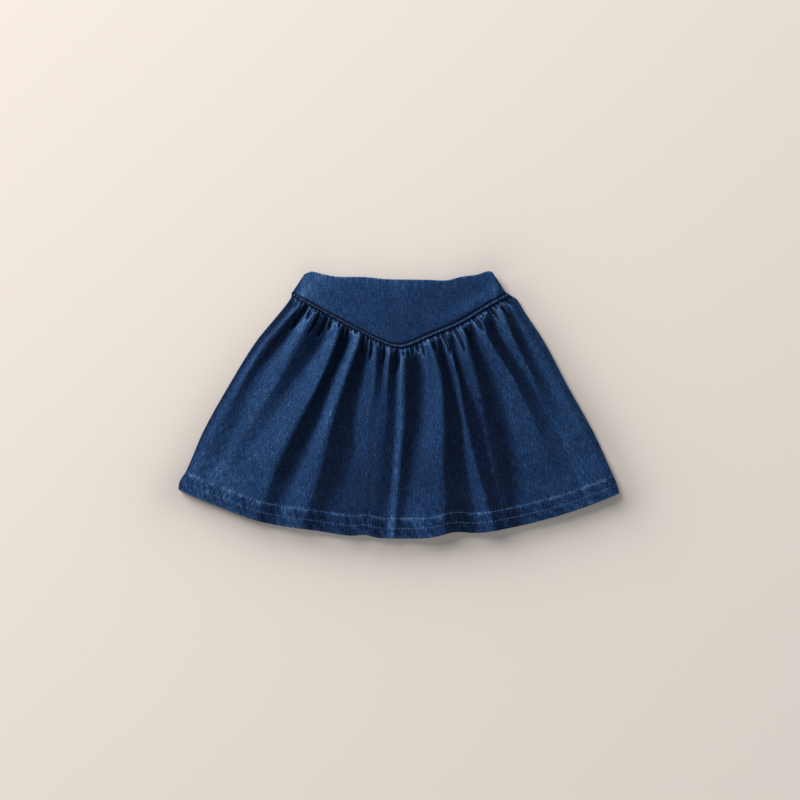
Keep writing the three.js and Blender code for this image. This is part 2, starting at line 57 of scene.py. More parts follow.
# The cut and the layers, as in the solids, but the header and the gathers start a little nearer the
# seam, as the photograph shows them
CLOTH = 1.1
GAP = 0.3
SEAM_HALF_GAP = 0.18
YOKE_THICK = 2.2
HEM_THICK = 2.3
HEM_DEPTH = 20
BAND_DEPTH = 20
BAND_THICK = 4.6
BAND_END_THICK = 2.2
BAND_END = 16  # how far from a side seam the band has its whole thickness
ONTO_BAND = {"start": 14, "over": 12}  # the front climbs onto the band's lower edge from 14 mm below
BACK_GATHERS = 38
HEADER = {"height": 1.2, "rise": 1.2, "end": 3.5, "fall": 1.2, "uneven": 0.55, "long": 230}
PUFF = {"height": 4.2, "valley": 0.25, "ridge": 6, "start": 3, "rise": 3, "full": 8, "fade": 34}
GATHER = {"depth": 4.4, "start": 2.6, "rise": 0.8, "floor": 0.5, "wide": 0.6, "reach": 0.028}
GATHER_END = {"round": 0.3, "rim": 0.16}  # shares of its length and of its half width
GATHER_AT_SIDE = 0.022  # share across that the first and the last gather have outside them
BACK_GATHER = {"depth": 2.5, "length": 25, "uneven": 14, "half_width": 0.42, "shift": 0.2, "fade": 1.25}
BACK_GATHER_STRENGTH = (0.78, 0.22)  # the even part, and the uneven one
BACK_GATHER_FLAT = 0.35  # a gather shallower than this rests flat
FOLDS_GROW = {"start": 3.6, "over": 4.5}
LOFT = {"least": 0.55, "gathers": 2.35, "gathers_fade": 42, "air": 1.5, "air_at": 70, "air_fade": 75}
FOLD_TOP_Y = 60  # the folds keep their heights and wear above this
FOLD_SOFT = 0.4  # 0 gives straight faces between fold lines, 1 gives round ridges and valleys
SIDE_SETTLE = 13
SIDE_ROUND = 5.5
HEM_SETTLE = 32
HEM_STEP = 1.8
HEM_PUCKER = {"wave": 0.6, "step": 0.45}
SMALL_RIPPLES = {"height": 0.3, "pitch": 23, "start": 12, "rise": 20}
TIP = (1, 60.4)
SEAM_LEFT = {"x": -106.7, "slope": 0.56, "rounding": 16}
SEAM_RIGHT = {"x": 107.8, "slope": 0.52, "rounding": 9}
SEAM_SAG = {"x": 60, "width": 22, "depth": 2.9}
HEM = {"low_x": -0.7, "low_y": -133.3, "radius": 540, "tilt": 0.01}
HEM_RETREATS = ((-140, 30, -2.2), (-80, 22, 0.9), (-34, 9, 2.4), (56, 16, 4.1))  # x, width, depth
SIDES = np.array([  # share down, left x, right x
    (0, -106.7, 107.8), (0.03, -107.8, 113), (0.1, -118.2, 125.8), (0.25, -142.4, 146),
    (0.45, -167, 167), (0.7, -194.6, 194.8), (0.9, -211.4, 212.8), (0.96, -218.4, 217.8),
    (1, -219.6, 219.8),
])
SHOULDER = {"reach": 4.5, "down": 0.03, "length": 0.045, "power": 24}
YOKE_TOP = np.array([  # x, y
    (-91.5, 131.2), (-87, 132.7), (-76, 130.3), (-62, 127.7), (-34, 127.2), (-12, 125.2),
    (28, 124.5), (48, 124), (62, 127.4), (78, 129.7), (89, 133.1), (93, 132.4),
])
YOKE_FOOT = (-104.4, 107.2)
YOKE_ARM = {"height": 1.1, "above": 9, "x": 70}
YOKE_LEFT = {"height": 1.2, "x": -84, "y": 112}
YOKE_PULLS = 0.35
YOKE_DITCH = {"depth": 0.7, "width": 1.8}
YOKE_RUCHES = {"height": 0.4, "pitch": 7.5, "fade": 8}
BAND_TOP_DROP = 0.8
BAND_FOOT = (-106.8, 106.4)
BAND_HEAD = (-93.5, 91.5)

# Fold lines of the front from left to right, ridges and valleys in turn: the line's x at each y of
# FOLD_Y, then its height near the yoke, half way down and at the hem.
FOLD_Y = (90, 65, 25, -15, -55, -95)
FOLD_HEIGHT_Y = (45, -15, -95)
FOLD_LINES = np.array([
    (-108, -133, -156, -176, -196, -212, 4.8, 2.2, 1.6),
    (-97, -114, -145, -161, -180, -200, 1.2, 1.8, 1.4),
    (-84, -99, -120, -145, -170, -193, 6.6, 4.0, 1.6),
    (-72, -77, -104, -130, -158, -185, 1.0, 2.4, 1.2),
    (-57, -63, -79, -101, -122, -136, 8.0, 7.6, 4.2),
    (-49, -51, -67, -81, -99, -117, 0.8, 0.8, 1.2),
    (-36, -40, -55, -69, -80, -92, 7.6, 7.2, 4.4),
    (-30, -31, -38, -46, -49, -64, 0.8, 0.8, 1.0),
    (-24, -23, -24, -30, -31, -33, 4.8, 3.4, 2.4),
    (-15, -14, -17, -21, -24, -28, 1.4, 2.4, 2.0),
    (-9, -8, -12, -13, -19, -24, 4.2, 3.4, 2.8),
    (-2, -2, -3, -4, -6, -10, 0.8, 0.8, 1.0),
    (4, 5, 3, 3, 0, -3, 5.8, 6.2, 3.8),
    (14, 15, 22, 20, 15, 8, 0.8, 0.8, 1.0),
    (31, 31, 41, 42, 41, 41, 8.6, 8.4, 5.6),
    (40, 42, 52, 62, 65, 71, 0.6, 0.6, 0.6),
    (47, 49, 59, 65, 74, 85, 5.4, 6.0, 4.6),
    (51, 53, 64, 80, 90, 101, 0.8, 1.0, 1.6),
    (63, 66, 76, 85, 93, 103, 7.0, 5.0, 2.8),
    (71, 75, 92, 104, 112, 118, 0.6, 0.6, 0.6),
    (79, 88, 112, 131, 146, 157, 6.8, 4.0, 1.8),
    (92, 101, 128, 148, 163, 176, 0.8, 1.2, 1.2),
    (103, 113, 133, 150, 168, 184, 4.8, 2.4, 1.4),
    (112, 124, 144, 163, 182, 197, 0.8, 1.0, 1.2),
    (124, 138, 158, 178, 195, 206, 3.2, 2.6, 1.6),
])

# The same lines' painted light and shade near the yoke, half way down and at the hem: for a ridge, how much
# painted highlight the climb to it gets, and for a valley, how dark the painted shade of its hollow is.
FOLD_LIGHT_AND_SHADE = np.array([
    (0.3, 0.4, 0.7), (0.75, 0.3, 0), (1, 1, 0.8), (0.35, 0, -0.1), (0.95, 1, 0.7), (1.05, 0.9, 0.5),
    (0.95, 0.95, 0.8), (1, 1.1, 0.6), (0.7, 0.7, 0.2), (0.65, 0.05, 0.3), (0.7, 0.05, -0.2),
    (0.9, 0.35, 0.45), (0.9, 0.9, 0.8), (0.95, 0.85, 0.5), (0.5, 0.62, 0.4), (1.15, 1.3, 1.1),
    (0.6, 0.2, 0.4), (1.05, 1.3, 0.9), (0.4, -0.6, -1.3), (1.1, 1.1, 0.8), (0.6, 0.7, 0.3),
    (0.9, 0.35, 0), (0.65, 0.1, 0.4), (0.7, 0, -0.1), (0.8, 0.75, 0.6),
])
UNPAINTED_RIDGE = 0.84  # a ridge with this much adds neither painted highlight nor painted shade to the climb up to it

# Where the painted shade, the lip's painted highlight and the crest's painted highlight lie between a fold
# line, at 0, and the next one to its right, at 1
SHADED = {"start": 0.11, "grow": 0.14, "past_valley": 0.45}
LIP = {"at": 0.28, "width": 0.16, "amount": 0.4}
CREST = {"climb": 0.35, "end": 0.1, "fade": 0.12}

# Small gathers: each trough's share across, its length and its depth.
GATHER_LINES = np.array([
    (0.011, 9, 0.5), (0.035, 16, 0.8), (0.05, 9, 0.8), (0.071, 34, 1), (0.101, 20, 0.8),
    (0.114, 9, 0.9), (0.131, 30, 0.9), (0.144, 8, 0.8), (0.161, 30, 0.9), (0.189, 19, 0.9),
    (0.205, 8, 0.6), (0.224, 11, 0.9), (0.242, 28, 0.9), (0.26, 17, 0.7), (0.275, 8, 0.7),
    (0.294, 9, 0.9), (0.33, 26, 1), (0.35, 9, 0.8), (0.37, 28, 0.8), (0.386, 9, 0.9),
    (0.409, 10, 0.8), (0.424, 24, 0.8), (0.437, 7, 0.5), (0.458, 9, 0.8), (0.481, 30, 1),
    (0.508, 14, 0.8), (0.528, 17, 0.7), (0.545, 14, 1), (0.573, 13, 1), (0.593, 20, 0.9),
    (0.605, 8, 0.7), (0.638, 22, 1), (0.668, 8, 0.8), (0.693, 30, 1), (0.723, 9, 0.9),
    (0.746, 32, 0.9), (0.757, 8, 0.7), (0.782, 34, 1), (0.796, 12, 0.6), (0.807, 7, 0.7),
    (0.837, 22, 1), (0.851, 12, 0.7), (0.864, 10, 0.8), (0.88, 7, 0.5), (0.89, 16, 0.8),
    (0.905, 19, 0.8), (0.924, 10, 0.8), (0.94, 24, 0.9), (0.958, 7, 0.6), (0.974, 9, 0.9),
    (0.989, 6, 0.5),
])
BACK_FOLDS = (  # gathers to its left, height, share down at its end
    (3, 1.5, 0.55), (7, 1.9, 0.9), (10, 1.4, 0.5), (14, 2.0, 0.95), (17, 1.5, 0.6), (22, 1.9, 0.85),
    (26, 1.6, 0.6), (29, 2.0, 0.95), (32, 1.4, 0.5), (35, 1.6, 0.75),
)
BACK_FOLD = {"half_width": 1.6, "start": 8, "rise": 30, "fade": 0.22}  # the width in half gathers

# Places where the front and the yoke are painted paler or darker, partly as painted light and painted shade
# of their broad slopes and partly as wash: x, y, reach across, reach down, amount
FRONT_LIGHT_SHADE_AND_WASH = (
    (-184, -66, 26, 30, 0.34), (-140, -32, 14, 34, 0.2), (-139, -88, 12, 14, -0.12),
    (-52, -102, 24, 28, -0.22), (2, -122, 24, 16, 0.34), (17, -60, 7, 42, 0.2),
    (101, -116, 12, 9, 0.16), (142, 14, 12, 14, -0.16), (168, -30, 16, 40, 0.12),
)
YOKE_LIGHT_SHADE_AND_WASH = (
    (-92, 108, 28, 60, 0.52), (-76, 93, 18, 12, 0.16), (-30, 126, 40, 16, 0.18),
    (8, 122, 24, 10, 0.16), (24, 100, 26, 60, -0.1), (62, 118, 22, 12, -0.16),
    (100, 108, 15, 30, 0.3),
)

# Wear, painted light and painted shade of the pieces: each amount moves a share that runs from -1, unfaded
# or in deepest painted shade, to 1, palest
# rims and bulges: paler where they stand over the cloth round them and darker where they sink, as wear and
# as painted highlight and shade
RIM_WEAR_LIGHT_AND_SHADE = {"all": 0.12, "at_seam": 0.7, "height": 0.5, "rows": 4}
BULGE_WEAR_LIGHT_AND_SHADE = {"all": 0.16, "height": 2, "rows": 20}
# painted shade just below the header, and painted highlight on the lip below it and on rims near the seam
SEAM_SHADE_AND_HIGHLIGHT = {"fade": 16, "dark": 0.12, "dark_from": 4, "dark_fade": 6, "lip": 0.3, "lip_at": 4.6}
RIM_LEAST = {"lip": 1.05, "lip_at": 4.4}  # under the header a rim's painted shade is held back
LIP_WIDTH = 1.8
# painted shade in the fold hollows, less within a gather
HOLLOW_SHADE = {"all": 1.4, "in_gather": 0.35, "start": 5, "rise": 15}
EVEN_FRONT_WEAR = 0.08
# painted highlight and painted shade on the climbs to the ridges
CREST_LIGHT_AND_SHADE = 0.55
GATHER_SHADE_AND_HIGHLIGHT = 0.95  # how dark the painted shade in a gather is, and how pale the painted highlight on its rim is at the seam
# darker towards the hem, in the middle of the front
LOWER_DARKENING = {"all": -0.1, "from_y": 20, "over": 90, "x": 20, "width": 150}
HEM_WEAR = {"edge": 0.8, "edge_uneven": 0.7, "edge_fade": 1.5, "flecks": 0.75, "even": -0.06}
HEM_ROW_WEAR = (  # row of stitches, how far above it, reach, amount
    (0, 0, 1.2, 1.05), (0, -1.5, 2.2, 0.25), (1, 0.6, 1.2, 0.45),
)
# painted shade over the pressed header, uneven in small stretches
HEADER_SHADE = {"even": -0.5, "uneven": 0.55}
# Yoke: wear of its rubbed upper edge and ruches, painted highlight and shade on its swells, painted shade in
# the ditch, painted highlight along the right arm
YOKE_WEAR_LIGHT_AND_SHADE = {
    "even": 0.08, "swells": 0.3, "ditch": 0.6, "edge": 0.5, "edge_uneven": 0.6, "ruches": 0.3, "arm": 0.3,
}
BACK_WEAR = {"edge": 0.3, "row": 0.15, "rise": 0.1}

# The denim's noises: name, waves a metre across and down, detail, how far the noise reaches from its
# middle, and how far it moves the tone
DENIM_NOISES = (
    ("slub", (850, 130), 2.0, 0.25, 0.27),
    ("speck", (1150, 900), 1.0, 0.2, 0.28),
    ("weft", (140, 800), 1.0, 0.2, 0.06),
    ("blotch", (34, 26), 3.0, 0.2, 0.05),
)
FLECKS = ("slub", "speck")  # a material's flecks weaken or strengthen these
# The tone follows the noises and the wear share, which carries painted light and painted shade as well as
# wear: painted shade takes the cloth towards the unfaded and deep blues, painted highlight towards the faded
# blue
DENIM_TONE = {"middle": 0.42, "wear_light_and_shade": 0.36}
DENIM_BLUES = {"shade_blue": 0.0, "deep_blue": 0.3, "mid_blue": 0.55, "faded_and_lit_blue": 0.8, "pale_blue": 1.0}
TWILL_TURN = 28  # degrees

# Sewing
SEAM_STITCH_DOWN = 1.8  # the topstitch runs along the middle of the header
HEM_STITCH_UP = (19.8, 10)  # two rows, above the hem's edge
SEAM_FURROW = (0.5, 0.3)  # half width and depth of the furrow under a row
FRONT_FURROW = (0.7, 0.35)
BACK_FURROW = (0.8, 0.5)
BACK_STITCH_Z = 0.42  # in the furrow, clear of the table
HEM_CUT_WIDTH = 470  # each panel's width at the hem, with the folds pulled flat

# The waistband's casing: a squared oval of 40 points at each of 381 columns, with small ruches in
# cloth that is 1.7 times as long as the band
RUCHE = {
    "columns": 381, "round": 40, "square": 0.32, "pitch": 5.4, "depth": 0.9, "band": 200, "fullness": 1.7,
}

# Studio
CAMERA_OVER = (0.0013, 0.0047)  # the photograph's middle, in metres from the skirt's
FLOOR_GRID = {"left": (-4, -1.2), "near": (-0.419, 0.421, 221), "right": (1.2, 4)}  # in metres
# Painted shadow on the floor round the skirt, most below it, and painted light in a narrow glow beside the
# hem
FLOOR_SHADE = {"all": 0.27, "below": 0.175, "right": 0.075, "reach": 24}
FLOOR_GLOW = {"amount": 0.6, "from_x": -215, "grow": 130, "reach": 8, "most": 1.16}
COARSE = 4  # a wall's hidden side has one point for this many on its visible side
THIN = (slice(None, None, COARSE), slice(None, None, COARSE))

# Rows of points down the panels, as distances from the seam and from the hem's edge
HEM_EDGE_ROWS = (1.7, 1.15, 0.75, 0.42, 0.18, 0.04)
FRONT_GRID = {
    "columns": 9,  # for each gather
    "rows": 185,
    "near_seam": (0, 0.3, 0.7, *np.arange(1.2, 31, 0.6)),
    "near_hem": (*np.arange(22, 2, -0.9), *HEM_EDGE_ROWS),
}
BACK_GRID = {
    "columns": 8,
    "rows": 133,
    "near_seam": (0, 0.5, *np.arange(1.2, 24, 1.2)),
    "near_hem": (*np.arange(22, 2, -1.2), *HEM_EDGE_ROWS),
}
STITCH_ROW = {"points": 900, "ends": 0.008}  # points along a row, and the share it leaves at each end
STITCH_GRID = {"rings": 7, "sides": 6}
STITCH_ARCH = {"height": 1.35, "power": 0.7, "sunk": 0.75}  # in radii of the thread


def ease(u):
    """Smooth step: u squared times three less two u, with u held between 0 and 1."""
    u = np.clip(u, 0, 1)
    return u * u * (3 - 2 * u)


def mix(a, b, u):
    """Straight line from a to b."""
    return a + (b - a) * u


def bell(x, centre, width):
    """Gaussian bump of height 1."""
    return np.exp(-(((x - centre) / width) ** 2))


def light_shade_and_wash_patches(x, y, places):
    """Sum of the places' Gaussian bumps."""
    total = 0
    for at_x, at_y, across, down, amount in places:
        total = total + amount * bell(x, at_x, across) * bell(y, at_y, down)
    return total


def soft_positive(h):
    """Half the sum of h and its length with 0.4, which is h where h is large and near 0 below."""
    return (h + np.hypot(h, 0.4)) / 2


def through(stations, values, at):
    """Cubic Hermite curve through values at stations, each slope being the one between the two
    neighbouring stations, and straight past both ends. values may have a leading axis of curves."""
    stations = np.asarray(stations, float)
    values = np.asarray(values, float)
    if stations[1] < stations[0]:
        stations = stations[::-1]
        values = values[..., ::-1]
    count = len(stations)
    before = np.maximum(np.arange(count) - 1, 0)
    after = np.minimum(np.arange(count) + 1, count - 1)
    steep = (values[..., after] - values[..., before]) / (stations[after] - stations[before])
    i = np.clip(np.searchsorted(stations, at, side="right") - 1, 0, count - 2)
    span = stations[i + 1] - stations[i]
    u = (at - stations[i]) / span
    inside = np.clip(u, 0, 1)
    start, end = values[..., i], values[..., i + 1]
    curve = mix(start, end, ease(inside))
    curve = curve + inside * (1 - inside) ** 2 * span * steep[..., i]
    curve = curve + inside ** 2 * (inside - 1) * span * steep[..., i + 1]
    below = steep[..., i] * np.minimum(u, 0) * span
    above = steep[..., i + 1] * np.maximum(u - 1, 0) * span
    return curve + below + above


def ripple(x, y, pitch, phase):
    """Uneven small waves of about that pitch, from -1 to 1: four sines in different directions."""
    k = 2 * np.pi / pitch
    return 0.25 * (
        np.sin(k * (0.92 * x + 0.31 * y) + phase)
        + np.sin(k * (0.61 * x - 0.47 * y) + 2.3 * phase + 1.7 * np.sin(k * 0.23 * x))
        + np.sin(k * (1.37 * x + 0.12 * y) + 0.7 * phase + 2)
        + np.sin(k * (0.38 * x + 0.83 * y) + 1.9 * phase + 1.3 * np.sin(k * 0.31 * y))
    )


def seam_y(x):
    """The pointed yoke seam: each arm is a hyperbola that rises from the tip by its slope, and the
    right one sags a little."""
    dx = x - TIP[0]
    left, right = (
        arm["slope"] * (np.hypot(dx, arm["rounding"]) - arm["rounding"]) for arm in (SEAM_LEFT, SEAM_RIGHT)
    )
    sag = SEAM_SAG["depth"] * bell(x, SEAM_SAG["x"], SEAM_SAG["width"])
    return TIP[1] + np.where(dx < 0, left, right) - sag


def hem_y(x):
    """The hem: an arc of a circle, tilted a little, with Gaussian retreats under the folds."""
    off = x - HEM["low_x"]
    y = HEM["low_y"] + HEM["radius"] - np.sqrt(HEM["radius"] ** 2 - off * off) - HEM["tilt"] * x
    for at, width, depth in HEM_RETREATS:
        y = y + depth * bell(x, at, width)
    return y


def yoke_top_y(x):
    """The yoke's upper edge: a smooth curve through its points."""
    return through(YOKE_TOP[:, 0], YOKE_TOP[:, 1], x)


def band_top_y(x):
    """The waistband's upper edge, just behind the yoke's."""
    return yoke_top_y(np.clip(x, -89, 90)) - BAND_TOP_DROP


def band_foot_y(x):
    """The waistband's lower edge, its depth below the upper one."""
    return band_top_y(x) - BAND_DEPTH


def front_edge(x):
    """The front panel's top edge, half a gap below the yoke seam."""
    return seam_y(x) - SEAM_HALF_GAP


def back_edge(x):
    """The back panel's top edge, a gap below the waistband."""
    return band_foot_y(x) - GAP


def shoulder(q):
    """How far a pleat puffs out under the right end of the seam: a bell that starts from nothing."""
    return SHOULDER["reach"] * bell(q, SHOULDER["down"], SHOULDER["length"]) * ease(q / SHOULDER["down"])


def panel_place(top_edge, s, q):
    """Place on a panel: x is mixed between the two side edges, with the pleat's puff at the right
    one, and y is mixed between the top edge and the hem."""
    top_x = mix(SEAM_LEFT["x"], SEAM_RIGHT["x"], s)
    foot_x = mix(SIDES[-1, 1], SIDES[-1, 2], s)
    left = through(SIDES[:, 0], SIDES[:, 1], q)
    right = through(SIDES[:, 0], SIDES[:, 2], q)
    x = mix(left, right, s) + shoulder(q) * s ** SHOULDER["power"]
    return x, mix(top_edge(top_x), hem_y(foot_x), q)


def column_length(top_edge, s):
    """Length of a panel's column, as the straight line from its top to its foot."""
    top_x, top_y = panel_place(top_edge, s, 0 * s)
    foot_x, foot_y = panel_place(top_edge, s, 0 * s + 1)
    return np.hypot(foot_x - top_x, foot_y - top_y)


def side_distance(x, y):
    """Distance along X from a place to the nearer side edge."""
    top = band_foot_y(0.0)
    q = np.clip((top - y) / (top - hem_y(SIDES[-1, 1])), 0, 1)
    left = through(SIDES[:, 0], SIDES[:, 1], q)
    right = through(SIDES[:, 0], SIDES[:, 2], q) + shoulder(q)
    return np.maximum(0, np.minimum(x - left, right - x))


def wall_at(up):
    """A panel's thickness at a distance up from its hem: double within the turned-up allowance."""
    return mix(CLOTH, HEM_THICK, ease((HEM_DEPTH + 1.5 - up) / HEM_STEP))


def cover_at(up):
    """The smooth slope of cloth that lies over that step."""
    return mix(CLOTH, HEM_THICK, ease((HEM_DEPTH + 2 + HEM_SETTLE - up) / HEM_SETTLE))


def back_ceiling(x, y):
    """The highest that the back panel reaches at a place."""
    below = np.maximum(0, band_foot_y(x) - y)
    gathers = LOFT["gathers"] * np.exp(-((below / LOFT["gathers_fade"]) ** 2))
    air = LOFT["air"] * bell(below, LOFT["air_at"], LOFT["air_fade"])
    loft = (LOFT["least"] + gathers + air) * ease(side_distance(x, y) / SIDE_SETTLE)
    return cover_at(y - hem_y(x)) + loft


def band_thick(x):
    """The waistband's thickness, less towards the side seams."""
    end = np.minimum(x - BAND_FOOT[0], BAND_FOOT[1] - x)
    return mix(BAND_END_THICK, BAND_THICK, ease(end / BAND_END))


def rest_level(x, y):
    """The level on which the front lies: the back panel's top, or the waistband's, and a gap."""
    low = back_ceiling(x, y)
    high = np.maximum(low, band_thick(x))
    climb = ease((y - band_foot_y(x) + ONTO_BAND["start"]) / ONTO_BAND["over"])
    return GAP + mix(low, high, climb)


def fold_height(x, y):
    """Height of the main folds, nearly straight between a ridge and a valley with softer ends, and two
    shares of painted light and shade: the hollow, a painted shade which starts sharply on a ridge's right,
    the side away from the key light, and fades out past the valley, and the crest, a painted highlight on
    the climb from a valley's lip to a ridge, which ends sharply there and turns to painted shade where the
    ridge's share is low."""
    flat_x, flat_y = x.ravel(), y.ravel()
    across = through(FOLD_Y, FOLD_LINES[:, :6], flat_y)
    heights = through(FOLD_HEIGHT_Y, FOLD_LINES[:, 6:], np.minimum(FOLD_TOP_Y, flat_y))
    right = np.clip((across <= flat_x).sum(axis=0), 1, len(FOLD_LINES) - 1)
    here = np.arange(flat_x.size)
    x_left, x_right = across[right - 1, here], across[right, here]
    h_left, h_right = heights[right - 1, here], heights[right, here]
    u = np.clip((flat_x - x_left) / (x_right - x_left), 0, 1)
    height = mix(h_left, h_right, mix(u, ease(u), FOLD_SOFT))
    wear_light_and_shade = through(FOLD_HEIGHT_Y, FOLD_LIGHT_AND_SHADE, np.clip(flat_y, FOLD_HEIGHT_Y[-1], FOLD_TOP_Y))
    light_and_shade_left, light_and_shade_right = wear_light_and_shade[right - 1, here], wear_light_and_shade[right, here]
    falling = right % 2 == 1
    # painted shade: it starts sharply on the face that falls from a ridge, away from the key light, and
    # fades out past the valley
    down_slope = ease((u - SHADED["start"]) / SHADED["grow"]) * (1 - 0.5 * ease((u - 0.5) / 0.5))
    past_valley = 0.5 * (1 - ease(u / SHADED["past_valley"]))
    hollow = np.where(falling, light_and_shade_right * down_slope, light_and_shade_left * past_valley)
    # painted highlight on a valley's lip, then on the climb painted highlight up to a ridge with a high
    # share and painted shade up to one with a low share
    lip = np.where(falling, 0, light_and_shade_left * bell(u, LIP["at"], LIP["width"]))
    below_even_left, below_even_right = UNPAINTED_RIDGE - light_and_shade_left, UNPAINTED_RIDGE - light_and_shade_right
    fading, growing = 1 - ease((u - CREST["end"]) / CREST["fade"]), ease(u / CREST["climb"])
    below_even = np.where(falling, below_even_left * fading, below_even_right * growing)
    crest = LIP["amount"] * lip - below_even
    return [share.reshape(x.shape) for share in (height, hollow, crest)]


def gather_depth(s, down):
    """Depth of the front's small gathers: each trough is widest at the seam, where it almost meets its
    neighbours, and narrows to a rounded end at its length. Gives the share of a painted highlight on its rim
    too, a Gaussian band just outside it."""
    at, length, strength = GATHER_LINES.T
    index = np.searchsorted((at[:-1] + at[1:]) / 2, s)
    spaces = np.concatenate([[GATHER_AT_SIDE], np.diff(at), [GATHER_AT_SIDE]])
    room = np.minimum(GATHER["reach"], np.where(s < at[index], spaces[index], spaces[index + 1]))
    run = np.clip(down / length[index], 0, 1)
    off = np.abs(s - at[index]) / (room * GATHER["wide"] * np.sqrt(1.001 - run * run))
    trough = 1 - ease((off - GATHER["floor"]) / (1 - GATHER["floor"]))
    kept = ease((1 - run) / GATHER_END["round"])
    begun = ease((down - GATHER["start"]) / GATHER["rise"])
    depth = GATHER["depth"] * strength[index] * trough * kept * begun
    return depth, bell(off, 1, GATHER_END["rim"]) * strength[index] * kept * begun


def back_gather_depth(s, down):
    """Depth of the back's gathers: for the three nearest, a squared cosine across and a fading
    length, each uneven in place, length and strength."""
    depth = np.zeros_like(s)
    even, uneven = BACK_GATHER_STRENGTH
    nearest = np.round(s * BACK_GATHERS - 0.5)
    for shift in (-1, 0, 1):
        k = nearest + shift
        centre = (k + 0.5 + BACK_GATHER["shift"] * np.sin(4.1 * k)) / BACK_GATHERS
        length = BACK_GATHER["length"] + BACK_GATHER["uneven"] * np.sin(2.3 * k + 1) * np.cos(0.9 * k)
        strength = even + uneven * np.sin(5.7 * k + 2)
        off = np.abs(s - centre) * BACK_GATHERS / BACK_GATHER["half_width"]
        trough = np.where(off < 1, np.cos(np.minimum(off, 1) * np.pi / 2) ** 2, 0)
        kept = (k >= 0) & (k <= BACK_GATHERS - 1)
        depth = np.maximum(depth, kept * strength * trough * ease(BACK_GATHER["fade"] - down / length))
    return BACK_GATHER["depth"] * depth * ease((down - GATHER["start"]) / GATHER["rise"])


def columns_at_gathers(per_gather):
    """Shares across the front with the same number of columns between every two troughs."""
    marks = np.concatenate([[0], GATHER_LINES[:, 0], [1]])
    return np.interp(np.arange((len(marks) - 1) * per_gather + 1) / per_gather, np.arange(len(marks)), marks)


def stitch_furrow(distance, width, depth):
    """A shallow furrow where a row of stitches pulls the cloth down."""
    return depth * np.exp(-((distance / width) ** 2))


def hem_pucker(s, up):
    """Puckers of the stitched hem: slanting waves between the rows of stitches, uneven along it."""
    along = s * HEM_CUT_WIDTH
    wave = ripple(along + 0.5 * up, 0.35 * up, 8.5, 1.3) + 0.5 * ripple(along, up, 4.3, 0.4)
    inside = ease((HEM_DEPTH + 3 - up) / 3) * ease((up + 1) / 3)
    furrows = sum(stitch_furrow(up - row, *FRONT_FURROW) for row in HEM_STITCH_UP)
    step = HEM_PUCKER["step"] * ease((HEM_DEPTH + 1.7 - up) / 0.9)
    return HEM_PUCKER["wave"] * wave * inside - furrows + step


def front_sheet(s, q):
    """Top of the front panel: the pressed header, then gathers, folds, small ripples and hem. Gives x, y and
    z, and the shares of painted light and shade: the fold hollow's painted shade, the crest's painted
    highlight and shade, the gather depth, which also sets the gathers' painted shade, and the gather rim's
    painted highlight."""
    x, y = panel_place(front_edge, s, q)
    length = column_length(front_edge, s)
    down, up = q * length, (1 - q) * length
    header = HEADER["height"] * ease(down / HEADER["rise"]) * ease((HEADER["end"] - down) / HEADER["fall"])
    header = header * (1 + HEADER["uneven"] * ripple(HEADER["long"] * s + 0.6 * down, 0.4 * down, 3.1, 1))
    header = header - stitch_furrow(down - SEAM_STITCH_DOWN, *SEAM_FURROW)
    fading = np.exp(-((np.maximum(0, down - PUFF["full"]) / PUFF["fade"]) ** 2))
    grown = ease((down - FOLDS_GROW["start"]) / FOLDS_GROW["over"])
    folds, hollow, crest = fold_height(x, y)
    puff = PUFF["height"] * ease((down - PUFF["start"]) / PUFF["rise"]) * fading
    puff = puff * mix(PUFF["valley"], 1, ease(folds / PUFF["ridge"]))
    gathers, rims = gather_depth(s, down)
    swell = folds * grown + puff - gathers
    rounded = 1 - np.exp(-((side_distance(x, y) / SIDE_ROUND) ** 2))
    small = SMALL_RIPPLES["height"] * ripple(x, y, SMALL_RIPPLES["pitch"], 0.9)
    small = small * ease((down - SMALL_RIPPLES["start"]) / SMALL_RIPPLES["rise"])
    z = rest_level(x, y) + cover_at(up) + header + (soft_positive(swell) + small) * rounded
    # shares of painted light and shade: the fold hollow's painted shade, the crest's painted highlight and
    # shade, the gathers' painted shade by their depth, and their rims' painted highlight
    painted_light_shares = hollow * grown, crest * grown, gathers / GATHER["depth"], rims
    return x, y, z + hem_pucker(s, up), *painted_light_shares


def front_top(s, q):
    """Place and height of the front panel's top."""
    return front_sheet(s, q)[:3]


def hem_round(up):
    """How far the hem's folded edge curves in, as a quarter circle of half the hem's thickness."""
    r = HEM_THICK / 2
    return r - np.sqrt(np.maximum(0, r * r - np.maximum(0, r - up) ** 2))


def panel_rows(length, grid):
    """Shares down columns of the given lengths: rows at the grid's distances from the seam, rows
    shared out between, and rows at its distances from the hem."""
    near_seam, near_hem = np.array(grid["near_seam"]), np.array(grid["near_hem"])
    shared = grid["rows"] - len(near_seam) - len(near_hem)
    share = (np.arange(1, shared + 1) / (shared + 1))[:, None]
    middle = mix(near_seam[-1], length - near_hem[0], share) / length
    return np.concatenate([near_seam[:, None] / length, middle, 1 - near_hem[:, None] / length])


def upright(points):
    """How much an upright line through the sheet is longer than its thickness, at each point."""
    along = np.gradient(points, axis=1)
    down = np.gradient(points, axis=0)
    normal = np.cross(along, down)
    share = np.abs(normal[..., 2]) / np.maximum(1e-9, np.linalg.norm(normal, axis=2))
    return 1 / np.maximum(0.5, share)


